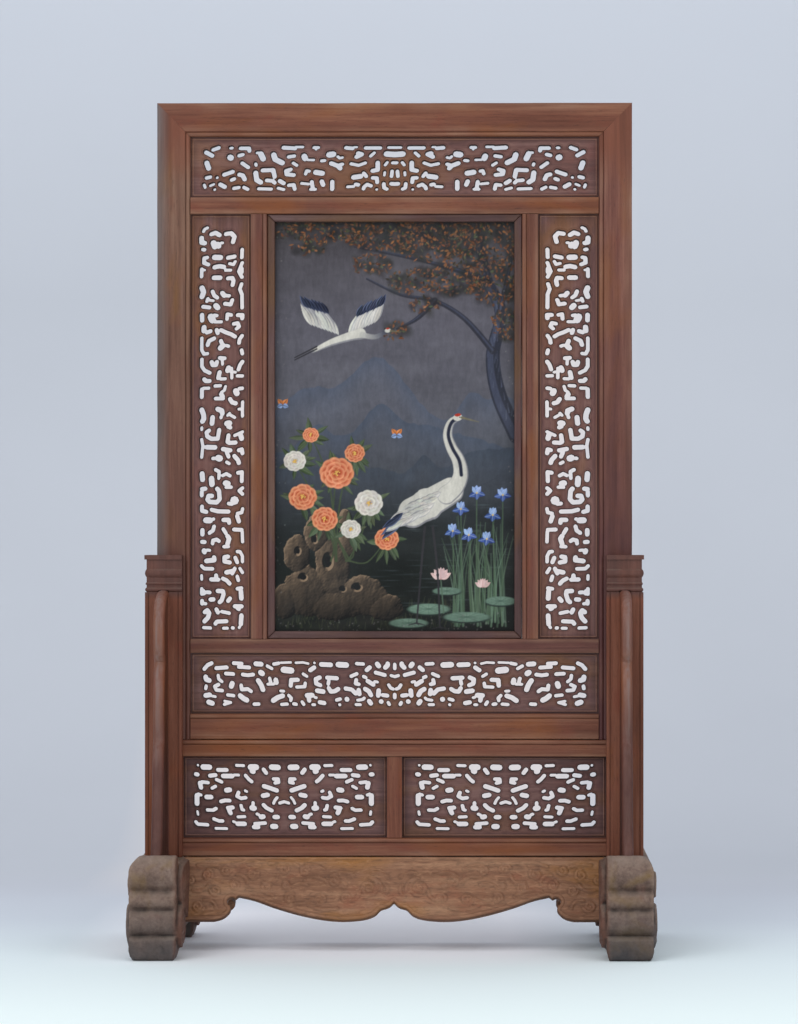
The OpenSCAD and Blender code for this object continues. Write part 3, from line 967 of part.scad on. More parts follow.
// Side view of the front half of a foot, with d measured from the middle
module foot_side_half() {
    core = toe_out - top_roll_h / 2;
    difference() {
        union() {
            translate([0, arch_h - past]) square([core, foot_h - arch_h + past]);
            translate([arch_l / 2, past]) square([core - arch_l / 2, foot_h - past]);
            translate([arch_l / 2, toe_h / 2])
                square([toe_out - roll_groove - arch_l / 2, top_roll_z - toe_h / 2]);
            translate([core, top_roll_z]) circle(top_roll_h / 2, $fn = 64);
            translate([toe_out - mid_roll_h / 2 - mid_roll_back, mid_roll_z])
                circle(mid_roll_h / 2, $fn = 64);
            translate([toe_out - low_roll_h / 2, low_roll_z]) circle(low_roll_h / 2, $fn = 64);
            toe_side();
        }
        polygon(concat([[-past, -past]], [[arch_l / 2, -past]], smooth(arch_line), [[-past, arch_h]]));
    }
}

// Half of the arch under a foot, from its springing to its crown
arch_line = [[arch_l * 0.5, 0], [arch_l * 0.475, arch_h * 0.55], [arch_l * 0.4, arch_h * 0.88],
    [arch_l * 0.3, arch_h * 0.8], [arch_l * 0.22, arch_h], [0, arch_h]];

module toe_side() {
    r = toe_h * 0.28;
    length = toe_out - arch_l / 2;
    translate([arch_l / 2, 0]) {
        square([length - r, toe_h]);
        translate([0, r]) square([length, toe_h - 2 * r]);
        translate([length - r, r]) circle(r, $fn = 32);
        translate([length - r, toe_h - r]) circle(r, $fn = 32);
    }
}

// Front view of a foot: straight sides, with the outer shoulder rounded above
module foot_front() {
    polygon([[foot_in + toe_in, 0], [foot_out - toe_in, 0], [foot_out, toe_h * 0.4], [foot_out, shoulder_z],
        [foot_in, shoulder_z], [foot_in, toe_h * 0.4]]);
    intersection() {
        translate([foot_in, shoulder_z - past]) square([foot_w, shoulder_drop + 2 * past]);
        union() {
            translate([foot_out - shoulder_r, shoulder_z]) circle(shoulder_r, $fn = 96);
            translate([foot_in - past, shoulder_z - 2 * past])
                square([foot_w + past - shoulder_r, shoulder_drop + 4 * past]);
        }
    }
}

// Spiral band of a volute, drawn round its own centre
volute_turns = 1.6;
volute_band = volute_r * 0.27;
volute_steps = 26;
function volute_line(inset) = [
    for (i = [0 : volute_steps])
        let (share = i / volute_steps, r = (volute_r - inset) * (1 - 0.72 * share),
            a = 80 + 360 * volute_turns * share)
            [r * cos(a), r * sin(a)]
];
module volute() {
    inner = volute_line(volute_band);
    polygon(concat(volute_line(0), [for (i = [volute_steps : -1 : 0]) inner[i]]));
    circle(volute_r * 0.24, $fn = 24);
}

// Leaf from the upper volute back to the post, as shares of half the foot's length and of its height
leaf_line = [[0.2, 0.98], [0.6, 0.98], [0.78, 0.94], [0.86, 0.83], [0.86, 0.7], [0.8, 0.58], [0.68, 0.52],
    [0.55, 0.5], [0.44, 0.42], [0.34, 0.37], [0.2, 0.36]];
module side_leaf() { polygon(smooth([for (p = leaf_line) [-p[0] * toe_out, p[1] * foot_h]])); }
module side_disc() { translate([-volute_y, volute_z]) circle(volute_r * 0.98, $fn = 64); }
module side_bands() {
    translate([-volute_y, volute_z]) volute();
    translate([-high_volute_y, high_volute_z]) scale(0.66) volute();
}

// Carving on one side of a foot's front end, standing out from x = 0 towards -X on a lower ground
module side_carving(proud) {
    ground = proud * 0.7;
    side_slab(-ground, past) side_disc();
    side_slab(-proud, past) side_bands();
}
module foot_carvings() {
    translate([foot_in, 0, 0]) {
        side_carving(inner_proud);
        side_slab(-inner_proud * 0.8, shoulder_in) side_leaf();
    }
    translate([foot_out, 0, 0]) mirror([1, 0, 0]) side_carving(outer_proud);
}

module foot() {
    difference() {
        union() {
            intersection() {
                side_slab(foot_in, foot_out) {
                    foot_side_half();
                    mirror([1, 0]) foot_side_half();
                }
                face_slab(-toe_out, toe_out) foot_front();
            }
            foot_carvings();
            on_rear() foot_carvings();
        }
        post_tenon(fit_gap, end_gap);
        foot_peg(peg_r + peg_gap, past);
        spandrel_board();
        on_rear() spandrel_board();
        apron_board(apron_blank());
        on_rear() apron_board(apron_blank());
    }
}
module right_foot() { color(foot_wood) foot(); }
module left_foot() { color(foot_wood) on_left() foot(); }

// An apron leans out from under the lower stretcher; its outline is given in its own plane,
// with height measured down from its top edge
module apron_board(outline) {
    intersection() {
        translate([0, -apron_top_y, foot_h]) rotate([90 - apron_slope, 0, 0])
            translate([0, 0, -apron_t]) linear_extrude(apron_t) polygon(outline);
        block([-apron_end - past, -toe_out, 0], [apron_end + past, 0, foot_h]);
    }
}

// Distance down the leaning board for a drop measured straight down
function down_board(drop) = -drop / cos(apron_slope);
apron_over = apron_t;
function apron_blank() = [[-apron_end, apron_over], [-apron_end, down_board(apron_drop)],
    [apron_end, down_board(apron_drop)], [apron_end, apron_over]];

// Lower edge of an apron from its middle to its end
apron_stretch = apron_end / apron_design_end;
function apron_point(p) = [p[0] * apron_stretch, down_board(apron_drop - p[1])];
apron_edge = concat(
    smooth([for (p = apron_middle) apron_point(p)]),
    smooth([for (p = apron_lobe) apron_point(p)]),
    [[apron_end, down_board(apron_drop)]]
);
apron_outline = concat(
    [[-apron_end, apron_over], [apron_end, apron_over]],
    [for (i = [len(apron_edge) - 1 : -1 : 0]) apron_edge[i]],
    [for (i = [1 : len(apron_edge) - 1]) [-apron_edge[i][0], apron_edge[i][1]]]
);

module apron() {
    eye = apron_point([apron_notch[0], apron_notch[1]]);
    difference() {
        apron_board(apron_outline);
        for (side = [-1, 1])
            translate([0, -apron_top_y, foot_h]) rotate([90 - apron_slope, 0, 0])
                translate([side * eye[0], eye[1], -apron_t - past])
                    cylinder(r = apron_notch[2], h = apron_t + 2 * past, $fn = 24);
    }
}
module front_apron() { color(apron_wood) apron(); }
module rear_apron() { color(apron_wood) on_rear() apron(); }

module stand_pegs() {
    color(peg_wood) {
        for (z = stretcher_peg_heights)
            for (x = [-stand_peg_x, stand_peg_x])
                rod_y(x, z, -tenon_t + end_gap, post_d / 2, peg_r);
        foot_peg(peg_r, 0);
        on_left() foot_peg(peg_r, 0);
    }
}

left_foot();
right_foot();
left_post();
right_post();
upper_stretcher();
lower_stretcher();
centre_strut();
left_base_fret();
right_base_fret();
front_apron();
rear_apron();
left_front_spandrel();
right_front_spandrel();
left_rear_spandrel();
right_rear_spandrel();
stand_pegs();
left_stile();
right_stile();
top_rail();
upper_cross_rail();
lower_cross_rail();
bottom_rail();
left_mullion();
right_mullion();
top_fret();
lower_fret();
left_fret();
right_fret();
top_glazing_bead();
bottom_glazing_bead();
left_glazing_bead();
right_glazing_bead();
painted_glass();
backing_board();
top_batten();
bottom_batten();
left_batten();
right_batten();
batten_pins();
frame_pegs();
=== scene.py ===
import math
import random

import bmesh
import bpy
import numpy as np
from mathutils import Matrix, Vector, noise
from mathutils.geometry import delaunay_2d_cdt


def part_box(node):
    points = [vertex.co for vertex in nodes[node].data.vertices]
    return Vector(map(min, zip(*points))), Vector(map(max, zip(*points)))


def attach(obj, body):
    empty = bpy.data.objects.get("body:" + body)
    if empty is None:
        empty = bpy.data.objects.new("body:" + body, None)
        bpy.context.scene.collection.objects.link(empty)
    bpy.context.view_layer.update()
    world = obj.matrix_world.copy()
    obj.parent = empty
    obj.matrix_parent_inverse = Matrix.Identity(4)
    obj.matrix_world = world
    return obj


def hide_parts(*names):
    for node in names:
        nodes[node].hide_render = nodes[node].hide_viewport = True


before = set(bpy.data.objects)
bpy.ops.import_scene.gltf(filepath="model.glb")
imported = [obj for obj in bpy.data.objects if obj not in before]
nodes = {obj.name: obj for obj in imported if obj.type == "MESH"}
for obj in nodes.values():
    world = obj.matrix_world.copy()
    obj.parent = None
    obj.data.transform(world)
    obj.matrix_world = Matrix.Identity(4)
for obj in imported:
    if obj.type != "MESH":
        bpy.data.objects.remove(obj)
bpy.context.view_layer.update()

# Lengths below are in millimetres until a mesh is made, and MM turns them into metres.
MM = 0.001


def box_mm(node):
    low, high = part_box(node)
    return np.array(low) * 1000, np.array(high) * 1000


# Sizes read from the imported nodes
stile_lo, stile_hi = box_mm("right_stile")
mullion_lo, mullion_hi = box_mm("right_mullion")
bottom_hi = box_mm("bottom_rail")[1]
top_hi = box_mm("top_rail")[1]
upper_lo, upper_hi = box_mm("upper_cross_rail")
lower_lo, lower_hi = box_mm("lower_cross_rail")
glass_lo, glass_hi = box_mm("painted_glass")
upst_lo, upst_hi = box_mm("upper_stretcher")
lost_lo, lost_hi = box_mm("lower_stretcher")
post_lo, post_hi = box_mm("right_post")
strut_hi = box_mm("centre_strut")[1]

FRONT, BACK = stile_lo[1], stile_hi[1]
STILE_IN, STILE_OUT = stile_lo[0], stile_hi[0]
MULL_IN, MULL_OUT = mullion_lo[0], mullion_hi[0]
POST_IN = post_lo[0]
BEAD = 5.0  # width of the half-round along a member's inner edge
QUIRK = 0.4  # width and depth of the line beside that half-round
TOP_FRET_H = 60.0  # height of the top fretwork's opening
GLAZING_BEAD = 7.5  # how far a glazing bead reaches in from its member
UNDER_BEAD = 1.5  # how far the painting runs on under the beads


def linear(rgb):
    """A colour written as 0 to 255 in sRGB, as linear values with alpha."""
    shares = [c / 255 for c in rgb]
    return (*(c / 12.92 if c <= 0.04045 else ((c + 0.055) / 1.055) ** 2.4 for c in shares), 1.0)


def toned(rgb, by):
    """A colour made darker or lighter by one factor, as linear values."""
    return linear([c * by for c in rgb])


# Material helpers

def node_tree(name):
    mat = bpy.data.materials.new(name)
    mat.use_nodes = True
    nt = mat.node_tree
    nt.nodes.clear()
    out = nt.nodes.new("ShaderNodeOutputMaterial")
    shader = nt.nodes.new("ShaderNodeBsdfPrincipled")
    nt.links.new(shader.outputs[0], out.inputs[0])
    return mat, nt, shader


def feed(nt, socket, value):
    """Links another node's output to an input, or sets the input to a plain value."""
    if isinstance(value, bpy.types.NodeSocket):
        nt.links.new(value, socket)
    else:
        socket.default_value = value


def add(nt, kind, **inputs):
    """A new node, with its inputs set by name, or by number as i0, i1 and so on."""
    n = nt.nodes.new(kind)
    for key, value in inputs.items():
        numbered = key[0] == "i" and key[1:].isdigit()
        feed(nt, n.inputs[int(key[1:]) if numbered else key.replace("_", " ")], value)
    return n


def math_node(nt, op, *values):
    n = nt.nodes.new("ShaderNodeMath")
    n.operation = op
    for i, v in enumerate(values):
        feed(nt, n.inputs[i], v)
    return n.outputs[0]


def times(nt, a, b):
    return math_node(nt, "MULTIPLY", a, b)


def mix(nt, factor, a, b):
    n = nt.nodes.new("ShaderNodeMix")
    n.data_type = "RGBA"
    n.clamp_factor = True
    for i, v in ((0, factor), (6, a), (7, b)):
        feed(nt, n.inputs[i], v)
    return n.outputs[2]


def spread(nt, value, low, high, to_low=0.0, to_high=1.0):
    n = nt.nodes.new("ShaderNodeMapRange")
    n.clamp = True
    for i, v in enumerate((value, low, high, to_low, to_high)):
        feed(nt, n.inputs[i], v)
    return n.outputs[0]


def ramp(nt, value, stops):
    n = nt.nodes.new("ShaderNodeValToRGB")
    nt.links.new(value, n.inputs[0])
    e = n.color_ramp.elements
    while len(e) < len(stops):
        e.new(0.5)
    for i, (pos, colour) in enumerate(stops):
        e[i].position = pos
        e[i].color = colour
    return n.outputs[0]


def object_coord(nt):
    return nt.nodes.new("ShaderNodeTexCoord").outputs["Object"]


def attribute(nt, name, output):
    n = nt.nodes.new("ShaderNodeAttribute")
    n.attribute_name = name
    return n.outputs[output]


def grain_noise(nt, coord, axis, along, across, detail, seed, distortion=0.0, rough=0.55):
    """Noise stretched along one axis; along and across are in features per metre."""
    scale = [across] * 3
    scale["xyz".index(axis)] = along
    place = (seed * 3.71, seed * 1.93, seed * 2.57)
    m = add(nt, "ShaderNodeMapping", i0=coord, Scale=scale, Location=place)
    n = add(nt, "ShaderNodeTexNoise", Vector=m.outputs[0], Scale=1.0, Detail=detail, Roughness=rough,
            Distortion=distortion)
    return n.outputs["Fac"]


def wood(name, dark, mid, light, axis, seed, rough=0.53, worn=(140, 106, 86), dust=0.0, fades=(), marks=0.0):
    """Old waxed hardwood: figure, fine pores and large stains; where tone is above nought, wear on edges and
    painted highlights, and where it is below, painted shade.
    Each fade is (axis, where it starts, where it is full, colour), in metres. marks are short tool marks."""
    mat, nt, shader = node_tree(name)
    coord = object_coord(nt)
    figure = grain_noise(nt, coord, axis, 3.5, 62, 5, seed, 0.8)
    streak = grain_noise(nt, coord, axis, 11, 330, 4, seed + 2, 0.2, 0.6)
    pores = grain_noise(nt, coord, axis, 120, 1500, 2, seed + 4, 0.0, 0.6)
    stain = grain_noise(nt, coord, axis, 7, 15, 4, seed + 6, 0.5, 0.6)
    cloud = grain_noise(nt, coord, axis, 26, 44, 3, seed + 8, 0.3)
    ochre = grain_noise(nt, coord, axis, 8, 24, 3, seed + 10, 0.6)
    base = math_node(nt, "MULTIPLY_ADD", figure, 0.46, times(nt, streak, 0.30))
    base = math_node(nt, "MULTIPLY_ADD", stain, 0.24, base)
    colour = ramp(nt, base, [(0.36, linear(dark)), (0.5, linear(mid)), (0.64, linear(light))])
    reddish = (mid[0] * 1.06, mid[1] * 0.80, mid[2] * 0.74)
    colour = mix(nt, spread(nt, cloud, 0.56, 0.74, 0, 0.42), colour, linear(reddish))
    yellowish = (mid[0] * 1.13, mid[1] * 1.09, mid[2] * 0.66)
    colour = mix(nt, spread(nt, ochre, 0.50, 0.68, 0, 0.7), colour, linear(yellowish))
    if marks:
        nick = grain_noise(nt, coord, axis, 75, 260, 3, seed + 12, 1.2, 0.6)
        colour = mix(nt, spread(nt, nick, 0.54, 0.66, 0, marks), colour, toned(mid, 0.62))
        colour = mix(nt, spread(nt, nick, 0.46, 0.34, 0, marks * 0.8), colour, toned(light, 1.14))
    colour = mix(nt, spread(nt, pores, 0.58, 0.72, 0, 0.45), colour, toned(dark, 0.55))
    # Tone above nought mixes in the lighter colour, wear and painted highlight; below nought it darkens,
    # painted shade
    tone = attribute(nt, "tone", "Fac")
    up = times(nt, math_node(nt, "MAXIMUM", tone, 0.0), spread(nt, streak, 0.3, 0.62, 0.35, 1.0))
    down = times(nt, math_node(nt, "MINIMUM", tone, 0.0), -1.0)
    colour = mix(nt, up, colour, linear(worn))
    places = add(nt, "ShaderNodeSeparateXYZ", i0=coord).outputs
    for along, start, full, tint in fades:
        share = times(nt, spread(nt, places["xyz".index(along)], start, full),
                      spread(nt, cloud, 0.3, 0.6, 0.7, 1.0))
        shade = mix(nt, spread(nt, base, 0.36, 0.64), toned(tint, 0.84), toned(tint, 1.14))
        colour = mix(nt, share, colour, shade)
    colour = mix(nt, down, colour, toned(dark, 0.30))
    # Faces that look up are lightened towards a pale grey: a painted highlight
    if dust:
        normal = nt.nodes.new("ShaderNodeNewGeometry").outputs["Normal"]
        facing_up = add(nt, "ShaderNodeSeparateXYZ", i0=normal).outputs[2]
        grey = times(nt, times(nt, spread(nt, facing_up, 0.35, 0.95), dust),
                     spread(nt, cloud, 0.35, 0.6, 0.4, 1.0))
        colour = mix(nt, grey, colour, linear((158, 146, 134)))
    nt.links.new(colour, shader.inputs["Base Color"])
    nt.links.new(spread(nt, base, 0.38, 0.62, rough + 0.10, rough - 0.08), shader.inputs["Roughness"])
    height = math_node(nt, "MULTIPLY_ADD", pores, -0.5, streak)
    bump = add(nt, "ShaderNodeBump", Height=height, Strength=0.35, Distance=0.0006)
    nt.links.new(bump.outputs[0], shader.inputs["Normal"])
    shader.inputs["Specular IOR Level"].default_value = 0.24
    return mat


# Colours of each kind of member, dark, middle and light
WOODS = {
    "frame": ((80, 52, 41), (104, 72, 58), (130, 98, 80)),
    "red": ((80, 46, 40), (101, 60, 50), (126, 82, 68)),
    "mullion": ((80, 46, 38), (99, 58, 47), (120, 77, 63)),
    "post": ((90, 49, 35), (111, 63, 45), (133, 82, 62)),
    "rail": ((82, 44, 31), (104, 59, 43), (128, 82, 60)),
    # The lower cross rail's colour is darker as painted shade, like the stiles' lower parts
    "low": ((68, 37, 32), (86, 49, 43), (106, 66, 56)),
    "bead": ((58, 38, 37), (80, 56, 54), (104, 80, 77)),
    "fret": ((76, 49, 47), (97, 64, 60), (120, 87, 81)),
    "base": ((74, 50, 49), (93, 63, 61), (114, 84, 80)),
    # The aprons' and feet's paler colours are partly their own, less stained wood and partly painted light
    "apron": ((102, 68, 48), (128, 89, 66), (150, 113, 86)),
    "foot": ((80, 62, 55), (104, 84, 75), (127, 107, 96)),
    "pale": ((120, 96, 68), (150, 124, 92), (176, 150, 116)),
}

# Colours that single members fade to
FOOT_LOW_SHADE = {"left": (70, 64, 63), "right": (60, 56, 57)}
FOOT_INNER_SHADE = (92, 62, 51)
RIB_LOW = (78, 47, 41)
# The stiles darken towards the bottom to these colours, painted shade; the right one is darker, further from
# the light
LEFT_LOW_SHADE = (86, 51, 42)
RIGHT_LOW_SHADE = (76, 43, 42)
EDGE_GREY = (98, 86, 84)
CAP = (80, 51, 45)

mats = {}


def wood_for(kind, axis, seed, **more):
    key = (kind, axis, seed)
    if key not in mats:
        mats[key] = wood("%s_%s_%d" % (kind, axis, int(seed * 10)), *WOODS[kind], axis, seed, **more)
    return mats[key]


# Mesh helpers

def in_scene(name, data):
    obj = bpy.data.objects.new(name, data)
    bpy.context.scene.collection.objects.link(obj)
    return obj


def piece(name, mesh, body, node):
    """One visible piece: the body it rides, and the CAD node that it replaces."""
    obj = in_scene(name, mesh)
    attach(obj, body)
    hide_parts(node)
    return obj


def make(name, verts, faces, body, mat, node, tone=None, angle=38, colours=None):
    """A piece from points and faces: smooth with a tone at each point, or flat with painted colours."""
    mesh = bpy.data.meshes.new(name)
    mesh.from_pydata([tuple(c * MM for c in v) for v in verts], [], [tuple(f) for f in faces])
    mesh.validate()
    if colours is None:
        t = mesh.attributes.new("tone", "FLOAT", "POINT")
        t.data.foreach_set("value", np.asarray(tone, np.float32))
        mesh.shade_smooth()
        mesh.set_sharp_from_angle(angle=math.radians(angle))
    else:
        t = mesh.attributes.new("paint", "FLOAT_COLOR", "POINT")
        t.data.foreach_set("color", np.asarray(colours, np.float32).ravel())
    mesh.materials.append(mat)
    piece(name, mesh, body, node)


def arc(cx, cy, r, a0, a1, n):
    return [(cx + r * math.cos(math.radians(a0 + (a1 - a0) * i / n)),
             cy + r * math.sin(math.radians(a0 + (a1 - a0) * i / n))) for i in range(n + 1)]


def member_profile(a0, a1, front, back, bead_low=False, bead_high=False, arris=1.6):
    """Section of a frame member: a runs across its face from a0 to a1, d from front to back.
    Returns (a, d, tone) for each point, in order round the section."""
    run = []

    def put(points, tone):
        run.extend((a, d, tone) for a, d in points)

    def bead(edge, way):
        """Half-round bead and its quirk, from the edge inwards; way is +1 or -1 along a."""
        r = BEAD / 2
        # Tones: a painted highlight on the bead's crest, and painted shade on its inner side and in the quirk
        out = [(edge, front + r + 1.4, -0.1), (edge, front + r, 0.05)]
        for i in range(1, 9):
            a = math.pi * i / 9
            out.append((edge + way * (r - r * math.cos(a)), front + r - r * math.sin(a) * 0.98,
                        0.4 if 2 < i < 7 else 0.15))
        return out + [(edge + way * (BEAD - 0.1), front + QUIRK, -0.12),
                      (edge + way * (BEAD + QUIRK * 0.55), front + QUIRK * 0.9, -0.12),
                      (edge + way * (BEAD + QUIRK), front + 0.2, 0.0),
                      (edge + way * (BEAD + QUIRK + 0.8), front, 0.2)]

    if bead_low:
        run += bead(a0, 1)
    else:
        put(arc(a0 + arris, front + arris, arris, 180, 270, 4), 0.5)
    put([(a0 + (a1 - a0) * s, front) for s in (0.36, 0.5, 0.64)], 0.0)
    if bead_high:
        run += reversed(bead(a1, -1))
    else:
        put(arc(a1 - arris, front + arris, arris, 270, 360, 4), 0.5)
    put(arc(a1 - arris, back - arris, arris, 0, 90, 3), 0.3)
    put(arc(a0 + arris, back - arris, arris, 90, 180, 3), 0.3)
    return run


def sweep(node, profile, place, start, end, body, mat, steps, wobble, flip=False):
    """Runs a section along a straight member; start and end give where each point of the section stops."""
    low, high = box_mm(node)
    middle, inset = (low + high) / 2, 1 - 2 * wobble / (high - low)
    inset[np.argmax(high - low)] = 1
    n = len(profile)
    verts, tone = [], []
    for k in range(steps + 1):
        s = k / steps
        for a, d, w in profile:
            t = start(a) + (end(a) - start(a)) * s
            v = Vector(middle + (np.array(place(a, d, t)) - middle) * inset)
            q = v * 0.02
            v += Vector([noise.noise(q + Vector(o)) for o in ((0, 0, 0), (9, 0, 0), (0, 9, 0))]) * wobble
            v = Vector(np.clip(v, low, high))
            verts.append(v)
            if w > 0:
                w *= 0.55 + 0.9 * max(0.0, noise.noise(v * 0.035 + Vector((5, 5, 5))) + 0.25)
            tone.append(w)
    faces = []
    for k in range(steps):
        for i in range(n):
            j = (i + 1) % n
            faces.append((k * n + i, k * n + j, (k + 1) * n + j, (k + 1) * n + i))
    faces.append(tuple(range(n - 1, -1, -1)))
    faces.append(tuple(steps * n + i for i in range(n)))
    if flip:
        faces = [tuple(reversed(f)) for f in faces]
    make(node + "_face", verts, faces, body, mat, node, tone)


# The insert's frame

TOP_IN = upper_hi[2] + TOP_FRET_H
# The stiles fade to painted shade from 0.66 m down, and fully by 0.40 m
LOW_SHADE_FADE = ("z", 0.66, 0.40)
HIGH_FADE = ("z", 0.76, 0.80, WOODS["rail"][1])
SIDES = {1: "right", -1: "left"}


def upright(way):
    """Turns a section's point and a height into a place, on the right with way 1 and on the left with -1."""
    return lambda a, d, t: (way * a, d, t)


def level(a, d, t):
    return t, d, a


def mitre(a):
    """Height of the mitre line at a distance a from the middle."""
    return TOP_IN + (a - STILE_IN) * (top_hi[2] - TOP_IN) / (STILE_OUT - STILE_IN)


def mitre_x(a):
    """Half length of the top rail at height a."""
    return STILE_IN + (a - TOP_IN) * (STILE_OUT - STILE_IN) / (top_hi[2] - TOP_IN)


def rail(node, half, kind, seed, bead, body):
    lo, hi = box_mm(node)
    front, back = (FRONT, BACK) if body == "insert" else (lo[1], hi[1])
    sweep(node, member_profile(lo[2], hi[2], front, back, False, bead, 1.2), level, lambda a: -half,
          lambda a: half, body, wood_for(kind, "x", seed), 40, 0.2, True)


stile_profile = member_profile(STILE_IN, STILE_OUT, FRONT, BACK, bead_low=True)
for way, kind, seed, low_shade, more in ((1, "red", 1.3, RIGHT_LOW_SHADE, ()),
                                        (-1, "frame", 2.1, LEFT_LOW_SHADE, (("x", -0.224, -0.2355, EDGE_GREY),))):
    sweep(SIDES[way] + "_stile", stile_profile, upright(way), lambda a: stile_lo[2], mitre, "insert",
          wood_for(kind, "z", seed, fades=((*LOW_SHADE_FADE, low_shade), HIGH_FADE, *more)), 60, 0.25, way < 0)
sweep("top_rail", member_profile(TOP_IN, top_hi[2], FRONT, BACK, bead_low=True), level,
      lambda a: -mitre_x(a), mitre_x, "insert", wood_for("rail", "x", 3.4), 48, 0.25, True)
rail("upper_cross_rail", STILE_IN, "rail", 4.6, False, "insert")
rail("lower_cross_rail", STILE_IN, "low", 5.2, False, "insert")
rail("bottom_rail", STILE_IN, "rail", 6.1, True, "insert")

PIC_LO, PIC_HI = lower_hi[2], upper_lo[2]
mull_profile = member_profile(MULL_IN, MULL_OUT, FRONT, BACK, bead_low=True, arris=1.2)
for way, seed in ((1, 7.7), (-1, 8.3)):
    sweep(SIDES[way] + "_mullion", mull_profile, upright(way), lambda a: PIC_LO, lambda a: PIC_HI, "insert",
          wood_for("mullion", "z", seed), 40, 0.15, way < 0)

# The stand's stretchers
rail("upper_stretcher", POST_IN, "rail", 9.1, True, "stand")
rail("lower_stretcher", POST_IN, "rail", 9.9, True, "stand")


# Relief from a node's own outline

def outline(node, to_plane, depth_of, pick):
    """Boundary segments of a node's flat face: to_plane gives the two coordinates in the face's plane."""
    mesh = nodes[node].data
    co = np.array([v.co for v in mesh.vertices], float) * 1000
    mesh.calc_loop_triangles()
    tri = np.array([t.vertices for t in mesh.loop_triangles])
    depth = depth_of(co)
    flat = (np.abs(depth[tri] - pick(depth)) < 0.01).all(axis=1)
    uv = np.stack(to_plane(co), axis=1)
    key = np.round(uv * 200).astype(np.int64)
    _, same = np.unique(key, axis=0, return_inverse=True)
    same = same.reshape(-1)
    point = np.zeros((same.max() + 1, 2))
    point[same] = uv
    seen = {}
    for t in same[tri[flat]]:
        for a, b in ((t[0], t[1]), (t[1], t[2]), (t[2], t[0])):
            k = (min(a, b), max(a, b))
            seen[k] = seen.get(k, 0) + 1
    # A sliver whose corners merge counts an edge twice, so a boundary edge is one with an odd count
    edges = [k for k, n in seen.items() if n % 2 and k[0] != k[1]]
    return np.array([[point[a], point[b]] for a, b in edges])


def blurred(s):
    """A grid whose values are averaged with their four neighbours."""
    p = np.pad(s, 1, mode="edge")
    return (p[:-2, 1:-1] + p[2:, 1:-1] + p[1:-1, :-2] + p[1:-1, 2:] + 4 * p[1:-1, 1:-1]) / 8


